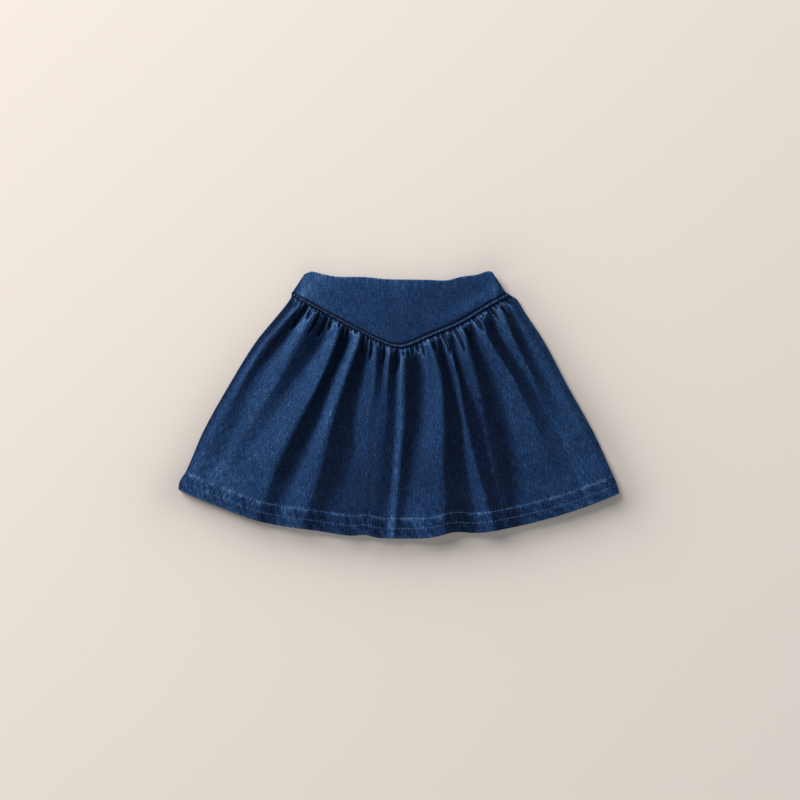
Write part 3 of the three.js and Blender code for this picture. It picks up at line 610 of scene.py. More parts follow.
def blurred(z, reach):
    """z averaged over a square of rows and columns, by running sums."""
    for axis in (0, 1):
        n = z.shape[axis]
        sums = np.concatenate([np.zeros_like(np.take(z, [0], axis)), np.cumsum(z, axis)], axis)
        high = np.minimum(np.arange(n) + reach + 1, n)
        low = np.maximum(np.arange(n) - reach, 0)
        shape = [1, 1]
        shape[axis] = n
        z = (np.take(sums, high, axis) - np.take(sums, low, axis)) / (high - low).reshape(shape)
    return z


def ring_of(grid):
    """The indices around a grid's edge, clockwise from above, starting and ending at one corner."""
    return np.concatenate([grid[0, :-1], grid[:-1, -1], grid[-1, :0:-1], grid[:0:-1, 0], grid[0, :1]])


def wall_faces(fine, coarse, step):
    """Quads of the fine sheet and the coarse one, and triangles round the rim between them, all
    facing outwards when the fine sheet is on top."""
    quads_fine = np.stack([fine[:-1, :-1], fine[1:, :-1], fine[1:, 1:], fine[:-1, 1:]], -1).reshape(-1, 4)
    quads_coarse = np.stack(
        [coarse[:-1, :-1], coarse[:-1, 1:], coarse[1:, 1:], coarse[1:, :-1]], -1
    ).reshape(-1, 4)
    rim, low = ring_of(fine), ring_of(coarse)
    a, b = rim[:-1], rim[1:]
    segment = np.arange(len(a)) // step
    first_half = np.arange(len(a)) % step < step // 2
    foot = np.where(first_half, low[segment], low[segment + 1])
    skirts = np.stack([a, b, foot], -1)
    middle = rim[:-1].reshape(-1, step)[:, step // 2]
    joins = np.stack([middle, low[1:], low[:-1]], -1)
    return quads_fine, quads_coarse, np.concatenate([skirts, joins])


def put_mesh(name, points, faces, uv=None, wear_light_and_shade=None, sharp=50):
    """Makes a mesh object from points in millimetres, with faces as rows of indices, a UV in metres of cloth
    and a share of wear, painted light and painted shade at each point."""
    mesh = bpy.data.meshes.new(name)
    mesh.from_pydata((np.asarray(points) * MM).tolist(), [], [f for rows in faces for f in rows.tolist()])
    if uv is not None:
        corner = np.empty(len(mesh.loops), dtype=np.int32)
        mesh.loops.foreach_get("vertex_index", corner)
        layer = mesh.uv_layers.new(name="cloth")
        layer.data.foreach_set("uv", (np.asarray(uv)[corner] * MM).astype(np.float32).ravel())
    if wear_light_and_shade is not None:
        mesh.attributes.new("wear_light_and_shade", "FLOAT", "POINT").data.foreach_set("value", np.asarray(wear_light_and_shade, np.float32))
    mesh.shade_smooth()
    mesh.set_sharp_from_angle(angle=radians(sharp))
    mesh.update()
    mesh.validate()
    obj = bpy.data.objects.new(name, mesh)
    bpy.context.scene.collection.objects.link(obj)
    return obj


def put_wall(name, fine, coarse, uv, wear_light_and_shade, fine_below=False):
    """A closed wall from a fine sheet of points and a coarse one, every COARSE-th of its places."""
    rows, columns = fine.shape[:2]
    fine_ids = np.arange(rows * columns).reshape(rows, columns)
    coarse_ids = rows * columns + np.arange(coarse.shape[0] * coarse.shape[1]).reshape(coarse.shape[:2])
    faces = wall_faces(fine_ids, coarse_ids, COARSE)
    if fine_below:
        faces = [f[:, ::-1] for f in faces]
    points = np.concatenate([fine.reshape(-1, 3), coarse.reshape(-1, 3)])
    all_uv = np.concatenate([uv.reshape(-1, 2), uv[THIN].reshape(-1, 2)])
    all_wear_light_and_shade = np.concatenate([wear_light_and_shade.ravel(), wear_light_and_shade[THIN].ravel()])
    return put_mesh(name, points, faces, all_uv, all_wear_light_and_shade)


def cloth_uv(s, down):
    """A panel's UV: across the cut cloth, and down it."""
    return np.stack([(s - 0.5) * HEM_CUT_WIDTH, -down], axis=-1)


def stitches(name, path, normals, settings, phase=0.0):
    """A row of stitches along a path: each is a low arch of rings round a short straight run, high
    in its middle and sunk at its ends, with its ends closed."""
    steps = np.concatenate([[0], np.cumsum(np.linalg.norm(np.diff(path, axis=0), axis=1))])
    pitch = (settings.stitch_length + settings.stitch_gap) / MM
    length = settings.stitch_length / MM
    radius = settings.thread_width / MM / 2
    starts = np.arange(phase * pitch + 0.5, steps[-1] - length - 0.5, pitch)
    rings, sides = STITCH_GRID["rings"], STITCH_GRID["sides"]
    along = np.linspace(0, 1, rings)
    at = starts[:, None] + along[None, :] * length
    centre = np.stack([np.interp(at, steps, path[:, k]) for k in range(3)], axis=-1)
    up = np.stack([np.interp(at, steps, normals[:, k]) for k in range(3)], axis=-1)
    up /= np.linalg.norm(up, axis=-1, keepdims=True)
    tangent = np.gradient(centre, axis=1)
    tangent /= np.linalg.norm(tangent, axis=-1, keepdims=True)
    side = np.cross(tangent, up)
    arch = np.sin(np.pi * along)[None, :, None]
    lift = STITCH_ARCH["height"] * arch ** STITCH_ARCH["power"] - STITCH_ARCH["sunk"]
    centre = centre + up * radius * lift
    turn = 2 * np.pi * np.arange(sides) / sides
    swell = (0.55 + 0.45 * np.sin(np.pi * along) ** 0.5)[None, :, None, None]
    ring = up[..., None, :] * np.sin(turn)[:, None] + side[..., None, :] * np.cos(turn)[:, None]
    points = centre[..., None, :] + radius * swell * ring
    count = len(starts)
    ids = np.arange(count * rings * sides).reshape(count, rings, sides)
    turned = np.roll(ids, -1, axis=2)
    tube = np.stack([ids[:, :-1], ids[:, 1:], turned[:, 1:], turned[:, :-1]], -1).reshape(-1, 4)
    caps = np.concatenate([ids[:, 0, :], ids[:, -1, ::-1]])
    return put_mesh(name, points.reshape(-1, 3), [tube, caps], sharp=80)


def sheet_normals(points):
    """Upward unit normals of a grid of points."""
    normal = -np.cross(np.gradient(points, axis=1), np.gradient(points, axis=0))
    return normal / np.linalg.norm(normal, axis=-1, keepdims=True)


def row_columns():
    """Shares across a panel of the points along a row of stitches."""
    return np.linspace(STITCH_ROW["ends"], 1 - STITCH_ROW["ends"], STITCH_ROW["points"])


def front_row(down_of):
    """Points and normals of a line across the front, at a distance down that down_of works out
    from each column's length."""
    s = row_columns()
    length = column_length(front_edge, s)
    q = down_of(length) / length
    points = np.stack(front_top(np.stack([s, s, s]), np.stack([q - 0.002, q, q + 0.002])), axis=-1)
    return points[1], sheet_normals(points)[1]


def new_material(name):
    """A new material, its node tree and its shader."""
    material = bpy.data.materials.new(name)
    material.use_nodes = True
    return material, material.node_tree, material.node_tree.nodes["Principled BSDF"]


def add_node(tree, kind, place, **values):
    """A shader node at a place on the node board, with its settings and its input values."""
    node = tree.nodes.new(kind)
    node.location = place
    for key, value in values.items():
        if key in node.inputs:
            node.inputs[key].default_value = value
        else:
            setattr(node, key, value)
    return node


def scaled(tree, source, low, high, to_low, to_high, place):
    """source mapped from low..high to to_low..to_high."""
    node = add_node(tree, "ShaderNodeMapRange", place)
    for key, value in zip(("From Min", "From Max", "To Min", "To Max"), (low, high, to_low, to_high)):
        node.inputs[key].default_value = value
    tree.links.new(source, node.inputs["Value"])
    return node.outputs["Result"]


def summed(tree, sources, place):
    """The sum of several values."""
    total = sources[0]
    for step, source in enumerate(sources[1:]):
        node = add_node(tree, "ShaderNodeMath", (place[0] + 160 * step, place[1]), operation="ADD")
        tree.links.new(total, node.inputs[0])
        tree.links.new(source, node.inputs[1])
        total = node.outputs[0]
    return total


def stretched_noise(tree, uv, scale, detail, place):
    """Noise on the cloth's UV, with its own number of waves per metre across and down."""
    mapping = add_node(tree, "ShaderNodeMapping", place, Scale=(scale[0], scale[1], 1))
    tree.links.new(uv, mapping.inputs["Vector"])
    noise = add_node(tree, "ShaderNodeTexNoise", (place[0] + 200, place[1]), Scale=1.0, Detail=detail)
    noise.inputs["Roughness"].default_value = 0.6
    tree.links.new(mapping.outputs["Vector"], noise.inputs["Vector"])
    return noise.outputs["Fac"]


def denim(name, settings, lift=0.0, flecks=1.0):
    """Washed indigo denim: slubs down the warp, pale specks of weft, soft blotches, a fine twill line, and
    the wear share, which fades the ridges and stitched edges and also carries painted highlights and painted
    shade."""
    material, tree, shader = new_material(name)
    uv = add_node(tree, "ShaderNodeUVMap", (-1700, 0), uv_map="cloth").outputs["UV"]
    wear_light_and_shade = add_node(tree, "ShaderNodeAttribute", (-1700, -500), attribute_name="wear_light_and_shade").outputs["Fac"]
    noises, shares = {}, []
    for number, (yarn, waves, detail, spread, amount) in enumerate(DENIM_NOISES):
        height = 300 - 240 * number
        noises[yarn] = stretched_noise(tree, uv, waves, detail, (-1450, height))
        amount = amount * (flecks if yarn in FLECKS else 1)
        marks = 0.5 - spread, 0.5 + spread, -amount, amount
        shares.append(scaled(tree, noises[yarn], *marks, (-1000, height)))
    middle = DENIM_TONE["middle"] + lift
    marks = -1.0, 1.0, middle - DENIM_TONE["wear_light_and_shade"], middle + DENIM_TONE["wear_light_and_shade"]
    shares.append(scaled(tree, wear_light_and_shade, *marks, (-1000, -660)))
    tone = summed(tree, shares, (-800, 100))
    ramp = add_node(tree, "ShaderNodeValToRGB", (-300, 100))
    stops = ramp.color_ramp.elements
    stops.remove(stops[0])
    for index, (key, at) in enumerate(DENIM_BLUES.items()):
        stop = stops[0] if index == 0 else stops.new(at)
        stop.position = at
        stop.color = (*getattr(settings, key), 1)
    tree.links.new(tone, ramp.inputs["Fac"])
    tree.links.new(ramp.outputs["Color"], shader.inputs["Base Color"])
    twill = add_node(tree, "ShaderNodeTexWave", (-1100, -900), Scale=1.0, Distortion=0.6)
    twill.wave_type = "BANDS"
    twill.bands_direction = "X"
    turn = add_node(tree, "ShaderNodeMapping", (-1400, -900))
    turn.inputs["Rotation"].default_value = (0, 0, radians(TWILL_TURN))
    lines = 1 / (settings.twill_pitch * 3.2)
    turn.inputs["Scale"].default_value = (lines, lines, 1)
    tree.links.new(uv, turn.inputs["Vector"])
    tree.links.new(turn.outputs["Vector"], twill.inputs["Vector"])
    relief = summed(
        tree,
        [
            scaled(tree, twill.outputs["Fac"], 0, 1, 0, 0.5, (-800, -900)),
            scaled(tree, noises["speck"], 0.3, 0.7, 0, 0.5, (-800, -700)),
        ],
        (-600, -800),
    )
    bump = add_node(tree, "ShaderNodeBump", (-300, -500), Strength=0.6, Distance=settings.weave_relief)
    tree.links.new(relief, bump.inputs["Height"])
    tree.links.new(bump.outputs["Normal"], shader.inputs["Normal"])
    shader.inputs["Roughness"].default_value = 0.88
    shader.inputs["Specular IOR Level"].default_value = 0.1
    shader.inputs["Sheen Weight"].default_value = 0.02
    shader.inputs["Sheen Roughness"].default_value = 0.5
    return material


def thread(name, colour):
    """Topstitch thread: plain, matt and a little uneven in tone."""
    material, tree, shader = new_material(name)
    place = add_node(tree, "ShaderNodeTexCoord", (-900, 0)).outputs["Object"]
    noise = add_node(tree, "ShaderNodeTexNoise", (-700, 0), Scale=420.0, Detail=2.0)
    tree.links.new(place, noise.inputs["Vector"])
    ramp = add_node(tree, "ShaderNodeValToRGB", (-400, 0))
    ramp.color_ramp.elements[0].position = 0.3
    ramp.color_ramp.elements[0].color = (*(0.45 * c for c in colour), 1)
    ramp.color_ramp.elements[1].position = 0.7
    ramp.color_ramp.elements[1].color = (*(1.35 * c for c in colour), 1)
    tree.links.new(noise.outputs["Fac"], ramp.inputs["Fac"])
    tree.links.new(ramp.outputs["Color"], shader.inputs["Base Color"])
    shader.inputs["Roughness"].default_value = 0.75
    return material


class SkirtDenim(bpy.types.PropertyGroup):
    """Colours and weave of the denim."""

    # The ramp's stops, which painted shade and painted highlight reach as well as wear
    shade_blue: bpy.props.FloatVectorProperty(
        name="Unfaded blue", description="Deepest yarn colour, between the twill lines",
        subtype="COLOR", size=3, min=0, max=1, default=(0.0012, 0.0042, 0.0165))
    deep_blue: bpy.props.FloatVectorProperty(
        name="Deep blue", description="Colour of little-worn cloth",
        subtype="COLOR", size=3, min=0, max=1, default=(0.0055, 0.021, 0.069))
    mid_blue: bpy.props.FloatVectorProperty(
        name="Mid blue", description="Colour of most of the cloth",
        subtype="COLOR", size=3, min=0, max=1, default=(0.0115, 0.043, 0.128))
    faded_and_lit_blue: bpy.props.FloatVectorProperty(
        name="Faded blue", description="Colour of washed ridges",
        subtype="COLOR", size=3, min=0, max=1, default=(0.034, 0.093, 0.22))
    pale_blue: bpy.props.FloatVectorProperty(
        name="Pale blue", description="Colour of worn edges and weft specks",
        subtype="COLOR", size=3, min=0, max=1, default=(0.14, 0.235, 0.38))
    twill_pitch: bpy.props.FloatProperty(
        name="Twill pitch", description="Distance between two twill lines",
        default=0.0007, min=0.0002, max=0.003, unit="LENGTH", precision=4)
    weave_relief: bpy.props.FloatProperty(
        name="Weave relief", description="Height of the yarns in the bump",
        default=0.00025, min=0, max=0.002, unit="LENGTH", precision=5)


class SkirtSewing(bpy.types.PropertyGroup):
    """Topstitching."""

    stitch_length: bpy.props.FloatProperty(
        name="Stitch length", description="Length of one topstitch",
        default=0.0027, min=0.001, max=0.01, unit="LENGTH", precision=4)
    stitch_gap: bpy.props.FloatProperty(
        name="Stitch gap", description="Gap between two topstitches",
        default=0.0006, min=0.0001, max=0.01, unit="LENGTH", precision=4)
    thread_width: bpy.props.FloatProperty(
        name="Thread width", description="Width of the topstitch thread",
        default=0.0006, min=0.0002, max=0.003, unit="LENGTH", precision=4)
    seam_thread: bpy.props.FloatVectorProperty(
        name="Seam thread", description="Colour of the thread along the yoke seam",
        subtype="COLOR", size=3, min=0, max=1, default=(0.09, 0.098, 0.15))
    hem_thread: bpy.props.FloatVectorProperty(
        name="Hem thread", description="Colour of the thread along the hem",
        subtype="COLOR", size=3, min=0, max=1, default=(0.05, 0.1, 0.22))


class SkirtStudio(bpy.types.PropertyGroup):
    """Floor, lights and camera."""

    floor_colour: bpy.props.FloatVectorProperty(
        name="Floor colour", description="Colour of the plain floor",
        subtype="COLOR", size=3, min=0, max=1, default=(0.82, 0.75, 0.69))
    key_power: bpy.props.FloatProperty(
        name="Key light", description="Power of the soft light from the upper left",
        default=570.0, min=0, max=5000, unit="POWER")
    key_size: bpy.props.FloatProperty(
        name="Key size", description="Width of the key light, which is 5.5 m away",
        default=4.3, min=0.1, max=9, unit="LENGTH")
    key_elevation: bpy.props.FloatProperty(
        name="Key elevation", description="Height of the key light above the floor, in degrees",
        default=22.0, min=5, max=90)
    key_azimuth: bpy.props.FloatProperty(
        name="Key direction", description="Direction that the key light comes from, in degrees from +X",
        default=132.0, min=0, max=360)
    sky_strength: bpy.props.FloatProperty(
        name="Sky light", description="Strength of the even light from all round",
        default=0.36, min=0, max=10, subtype="FACTOR")
    camera_height: bpy.props.FloatProperty(
        name="Camera height", description="Height of the camera above the floor",
        default=1.5, min=0.5, max=5, unit="LENGTH")
    field: bpy.props.FloatProperty(
        name="Field", description="Width of the floor that the picture shows",
        default=0.8, min=0.3, max=3, unit="LENGTH")


def fold_wear_light_and_shade(x, y, z, down, hollow, crest, gathers, rims):
    """Wear and painted light of the front's forms: rims and bulges pale by how far they stand over the cloth
    round them, as wear and painted highlight, crests as fold_height gives them, painted shade in the
    hollows, in the gathers and just below the header, painted highlight on the gathers' rims and the lip
    under the header, darker towards the hem in the middle, and the patches of painted light, painted shade
    and wash."""
    near_seam = np.exp(-down / SEAM_SHADE_AND_HIGHLIGHT["fade"])
    # painted highlight on the lip below the header, clear of the gathers
    lip = bell(down, SEAM_SHADE_AND_HIGHLIGHT["lip_at"], LIP_WIDTH) * (1 - gathers)
    least = -1 + RIM_LEAST["lip"] * bell(down, RIM_LEAST["lip_at"], LIP_WIDTH)
    # rims and bulges: wear and painted highlight where they stand up, painted shade where they sink
    rim = np.clip((z - blurred(z, RIM_WEAR_LIGHT_AND_SHADE["rows"])) / RIM_WEAR_LIGHT_AND_SHADE["height"], least, 1)
    bulge = np.tanh((z - blurred(z, BULGE_WEAR_LIGHT_AND_SHADE["rows"])) / BULGE_WEAR_LIGHT_AND_SHADE["height"])
    # painted shade just below the header
    below_header = np.exp(-np.maximum(0, down - SEAM_SHADE_AND_HIGHLIGHT["dark_from"]) / SEAM_SHADE_AND_HIGHLIGHT["dark_fade"])
    pale = (RIM_WEAR_LIGHT_AND_SHADE["all"] + RIM_WEAR_LIGHT_AND_SHADE["at_seam"] * near_seam) * rim + BULGE_WEAR_LIGHT_AND_SHADE["all"] * bulge
    pale = pale + CREST_LIGHT_AND_SHADE * crest + GATHER_SHADE_AND_HIGHLIGHT * rims * near_seam + SEAM_SHADE_AND_HIGHLIGHT["lip"] * lip
    # painted shade in the fold hollows and in the gathers
    hollow = hollow * ease((down - HOLLOW_SHADE["start"]) / HOLLOW_SHADE["rise"])
    dark = SEAM_SHADE_AND_HIGHLIGHT["dark"] * below_header + GATHER_SHADE_AND_HIGHLIGHT * gathers
    dark = dark + HOLLOW_SHADE["all"] * hollow * (1 - HOLLOW_SHADE["in_gather"] * gathers)
    # darker towards the hem, in the middle of the front
    lower = LOWER_DARKENING["all"] * ease((LOWER_DARKENING["from_y"] - y) / LOWER_DARKENING["over"])
    lower = lower * bell(x, LOWER_DARKENING["x"], LOWER_DARKENING["width"])
    # patches of painted light, painted shade and wash
    return pale - dark + lower + light_shade_and_wash_patches(x, y, FRONT_LIGHT_SHADE_AND_WASH)


def hem_wear(s, up):
    """Wear of the hem: a pale edge, pale flecks along the rows of stitches, and slanting streaks
    between them."""
    along = s * HEM_CUT_WIDTH
    edge = HEM_WEAR["edge"] + HEM_WEAR["edge_uneven"] * ripple(along, 0 * along, 8, 0.2)
    flecks = HEM_WEAR["flecks"] + 0.9 * ripple(along, 0.2 * up, 15, 2) + 0.8 * ripple(along, 0.6 * up, 4, 1)
    rows = 0
    for row, above, reach, amount in HEM_ROW_WEAR:
        rows = rows + amount * bell(up, HEM_STITCH_UP[row] + above, reach)
    slant = along + 0.7 * up
    streaks = 0.4 * ripple(0.8 * slant, 0.7 * up, 9, 0.5) + 0.3 * ripple(slant, 0.3 * up, 31, 2.5)
    between = ease((HEM_DEPTH + 1 - up) / 2) * (streaks + HEM_WEAR["even"])
    return edge * np.exp(-up / HEM_WEAR["edge_fade"]) + np.maximum(0, flecks) * rows + between


def header_shade(s, down):
    """Painted shade over the pressed header: darker than the cloth round it, in small uneven stretches."""
    uneven = ripple(HEADER["long"] * s + 0.6 * down, 0.5 * down, 2.6, 0.7)
    within = ease((HEADER["end"] + 0.6 - down) / 0.8)
    return within * (HEADER_SHADE["even"] + HEADER_SHADE["uneven"] * uneven)


class SKIRT_OT_front_panel(bpy.types.Operator):
    """Front panel: gathered cloth with its creases, pressed header and puckered hem"""

    bl_idname = "skirt.front_panel"
    bl_label = "Front panel"

    def execute(self, context):
        s = columns_at_gathers(FRONT_GRID["columns"])
        length = column_length(front_edge, s)
        q = panel_rows(length, FRONT_GRID)
        grid_s = np.broadcast_to(s, q.shape)
        down, up = q * length, (1 - q) * length
        x, y, z, *shares = front_sheet(grid_s, q)
        top = np.stack([x, y, z - hem_round(up)], axis=-1)
        thick = wall_at(up[THIN]) * upright(np.stack([x, y, z], axis=-1))[THIN]
        low = np.maximum(rest_level(x[THIN], y[THIN]), z[THIN] - thick) + hem_round(up[THIN])
        under = np.stack([x[THIN], y[THIN], low], axis=-1)
        # the front's share: its even tone, wear with the painted light and shade of folds and gathers, the
        # hem's wear, and the header's painted shade
        wear_light_and_shade = EVEN_FRONT_WEAR + fold_wear_light_and_shade(x, y, z, down, *shares) + hem_wear(s, up) + header_shade(s, down)
        wear_light_and_shade = np.clip(wear_light_and_shade, -1, 0.95)
        panel = put_wall("front_panel_cloth", top, under, cloth_uv(grid_s, down), wear_light_and_shade)
        panel.data.materials.append(denim("front_denim", context.scene.skirt_denim))
        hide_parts("front_skirt")
        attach(panel, "root")
        return {"FINISHED"}


def back_rise(x, y, s, q, down):
    """How high the back's underside stands over the table: gathers, and creases that start between
    two gathers and fade out down the panel, both settling towards the sides."""
    rise = np.maximum(0, back_gather_depth(s, down) - BACK_GATHER_FLAT)
    for gathers, height, end in BACK_FOLDS:
        off = np.abs(s - gathers / BACK_GATHERS) * 2 * BACK_GATHERS
        begun = ease((down - BACK_FOLD["start"]) / BACK_FOLD["rise"])
        crease = height * ease(BACK_FOLD["half_width"] - off) * begun * ease((end - q) / BACK_FOLD["fade"])
        rise = np.maximum(rise, crease)
    return rise * ease(side_distance(x, y) / SIDE_SETTLE)


class SKIRT_OT_back_panel(bpy.types.Operator):
    """Back panel: the hidden layer, flat on the table, with gathers and creases of its own"""

    bl_idname = "skirt.back_panel"
    bl_label = "Back panel"

    def execute(self, context):
        s = np.linspace(0, 1, BACK_GRID["columns"] * BACK_GATHERS + 1)
        length = column_length(back_edge, s)
        q = panel_rows(length, BACK_GRID)
        grid_s = np.broadcast_to(s, q.shape)
        x, y = panel_place(back_edge, grid_s, q)
        down, up = q * length, (1 - q) * length
        rise = back_rise(x, y, grid_s, q, down)
        furrows = sum(stitch_furrow(up - row, *BACK_FURROW) for row in HEM_STITCH_UP)
        under = np.stack([x, y, rise + furrows + hem_round(up)], axis=-1)
        sheet = np.stack([x, y, rise], axis=-1)
        high = rise[THIN] + wall_at(up[THIN]) * upright(sheet)[THIN]
        high = np.minimum(high, back_ceiling(x[THIN], y[THIN])) - hem_round(up[THIN])
        above = np.stack([x[THIN], y[THIN], high], axis=-1)
        wear_light_and_shade = BACK_WEAR["edge"] * np.exp(-up / 1.6) - BACK_WEAR["rise"] * rise
        wear_light_and_shade = wear_light_and_shade + BACK_WEAR["row"] * bell(up, HEM_STITCH_UP[0], 1.2)
        wear_light_and_shade = np.clip(wear_light_and_shade, -0.6, 0.8)
        panel = put_wall("back_panel_cloth", under, above, cloth_uv(grid_s, down), wear_light_and_shade, fine_below=True)
        panel.data.materials.append(denim("back_denim", context.scene.skirt_denim))
        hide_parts("back_skirt")
        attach(panel, "root")
        return {"FINISHED"}


def yoke_place(s, v):
    """Place on the yoke: mixed between its upper edge and the seam."""
    head = mix(YOKE_TOP[0, 0], YOKE_TOP[-1, 0], s)
    foot = mix(YOKE_FOOT[0], YOKE_FOOT[1], s)
    return mix(head, foot, v), mix(yoke_top_y(head), seam_y(foot) + SEAM_HALF_GAP, v)


def yoke_swell(x, y):
    """Soft swells: a ridge along the right arm, a rise at the left end, the pull of the elastic."""
    above = y - seam_y(x)
    arm = YOKE_ARM["height"] * bell(above, YOKE_ARM["above"], 6) * bell(x, YOKE_ARM["x"], 26)
    left = YOKE_LEFT["height"] * bell(x, YOKE_LEFT["x"], 15) * bell(y, YOKE_LEFT["y"], 13)
    pulls = YOKE_PULLS * (1 + np.sin(x / 7.5 + 1.2 * np.sin(x / 23))) * ease((above - 6) / 30)
    return arm + left + pulls


def yoke_top(s, v):
    """Top of the yoke: its two layers over what it rests on, swells, the ditch by the seam, and a
    folded upper edge with small ruches."""
    x, y = yoke_place(s, v)
    foot_x, foot_y = yoke_place(s, 0 * v + 1)
    head_x, head_y = yoke_place(s, 0 * v)
    above_seam = np.hypot(x - foot_x, y - foot_y)
    below_top = np.hypot(x - head_x, y - head_y)
    sides = 1 - np.exp(-((np.minimum(s, 1 - s) * 45) ** 2))
    ditch = -YOKE_DITCH["depth"] * ease(1 - above_seam / YOKE_DITCH["width"])
    ruches = YOKE_RUCHES["height"] * ripple(x, 0.2 * y, YOKE_RUCHES["pitch"], 0.6)
    ruches = ruches * np.exp(-below_top / YOKE_RUCHES["fade"]) * sides
    small = 0.16 * ripple(x, y, 19, 2.1) * sides
    z = rest_level(x, y) + YOKE_THICK + yoke_swell(x, y) * sides + ditch + ruches + small
    return x, y, z, above_seam, below_top


def yoke_wear_light_and_shade(x, y, z, above_seam, below_top):
    """Wear and painted light of the yoke: swells paler and the cloth between them darker, as wear and as
    painted highlight and shade, painted shade in the ditch by the seam, a rubbed and uneven upper edge, a
    painted highlight on the ridge along the right arm, and the patches of painted light, painted shade and
    wash."""
    # swells paler and the cloth between them darker, as wear and as painted highlight and shade
    swells = YOKE_WEAR_LIGHT_AND_SHADE["swells"] * (z - blurred(z, 9)) / 0.5
    # painted shade in the ditch by the seam
    ditch = -YOKE_WEAR_LIGHT_AND_SHADE["ditch"] * np.exp(-above_seam / 0.8)
    edge = YOKE_WEAR_LIGHT_AND_SHADE["edge"] + YOKE_WEAR_LIGHT_AND_SHADE["edge_uneven"] * ripple(x, 0 * x, 7, 1.5)
    ruches = YOKE_WEAR_LIGHT_AND_SHADE["ruches"] * ripple(x, 0.1 * y, 9, 0.9) * np.exp(-below_top / 10)
    # painted highlight on the ridge along the right arm
    arm = YOKE_WEAR_LIGHT_AND_SHADE["arm"] * bell(above_seam, 6, 4) * bell(x, 76, 22)
    even = YOKE_WEAR_LIGHT_AND_SHADE["even"] + light_shade_and_wash_patches(x, y, YOKE_LIGHT_SHADE_AND_WASH)
    return even + swells + ditch + edge * np.exp(-below_top / 2.6) + ruches + arm


class SKIRT_OT_yoke(bpy.types.Operator):
    """Yoke: two layers of denim, folded along the top and pointed at the seam"""

    bl_idname = "skirt.yoke"
    bl_label = "Yoke"

    def execute(self, context):
        s = np.linspace(0, 1, 321)
        v = np.array([0, 0.004, 0.012, 0.025, *np.linspace(0.04, 0.96, 87), 0.975, 1])
        grid_v, grid_s = np.meshgrid(v, s, indexing="ij")
        x, y, z, above_seam, below_top = yoke_top(grid_s, grid_v)
        r = YOKE_THICK / 2
        fold = r - np.sqrt(np.maximum(0, r * r - np.maximum(0, r - below_top) ** 2))
        top = np.stack([x, y, z - fold], axis=-1)
        level = rest_level(x[THIN], y[THIN]) + fold[THIN]
        under = np.stack([x[THIN], y[THIN], level], axis=-1)
        cloth = np.stack([x, y - TIP[1]], axis=-1)
        wear_light_and_shade = np.clip(yoke_wear_light_and_shade(x, y, z, above_seam, below_top), -0.7, 0.9)
        yoke = put_wall("front_yoke_cloth", top, under, cloth, wear_light_and_shade)
        yoke.data.materials.append(denim("yoke_denim", context.scene.skirt_denim, lift=-0.01, flecks=0.8))
        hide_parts("front_yoke")
        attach(yoke, "root")
        return {"FINISHED"}


class SKIRT_OT_waistband(bpy.types.Operator):
    """Back waistband: a casing ruched over wide elastic"""

    bl_idname = "skirt.waistband"
    bl_label = "Back waistband"

    def execute(self, context):
        s = np.linspace(0, 1, RUCHE["columns"])
        turn = np.linspace(0, 2 * np.pi, RUCHE["round"], endpoint=False)
        grid_s, grid_t = np.meshgrid(s, turn, indexing="ij")
        across = np.sign(np.cos(grid_t)) * np.abs(np.cos(grid_t)) ** RUCHE["square"]
        upward = np.sign(np.sin(grid_t)) * np.abs(np.sin(grid_t)) ** RUCHE["square"]
        v = (1 - across) / 2
        head = mix(BAND_HEAD[0], BAND_HEAD[1], grid_s)
        foot = mix(BAND_FOOT[0], BAND_FOOT[1], grid_s)
        x = mix(head, foot, v)
        along = grid_s * RUCHE["band"]
        ruche = 0.5 + 0.5 * ripple(along, 6 * v, RUCHE["pitch"], 1.1)
        y = mix(band_top_y(head) - RUCHE["depth"] * ruche, band_foot_y(foot), v)
        thick = band_thick(x)
        dip = RUCHE["depth"] * ruche * np.minimum(1, np.minimum(grid_s, 1 - grid_s) * 30)
        high = thick - np.where(upward > 0, dip, 0)
        low = np.where(upward < 0, 0.5 * dip, 0)
        z = mix(low, high, (1 + upward) / 2)
        points = np.stack([x, y, z], axis=-1)
        ids = np.arange(points.shape[0] * points.shape[1]).reshape(points.shape[:2])
        turned = np.roll(ids, -1, axis=1)
        tube = np.stack([ids[:-1], turned[:-1], turned[1:], ids[1:]], -1).reshape(-1, 4)
        caps = np.stack([ids[0, ::-1], ids[-1]])
        uv = np.stack([along * RUCHE["fullness"], (v + 0.5 * (1 - upward)) * BAND_DEPTH], axis=-1)
        # paler on the ruches' puffs, darker in their dips, and paler along the top fold
        wear_light_and_shade = np.clip(0.5 * (1 - 2 * ruche) + 0.25 * bell(v, 0, 0.06), -0.6, 0.8).ravel()
        points, uv = points.reshape(-1, 3), uv.reshape(-1, 2)
        band = put_mesh("back_waistband_casing", points, [tube, caps], uv, wear_light_and_shade)
        band.data.materials.append(denim("waistband_denim", context.scene.skirt_denim, lift=0.03))
        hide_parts("back_waistband")
        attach(band, "root")
        return {"FINISHED"}


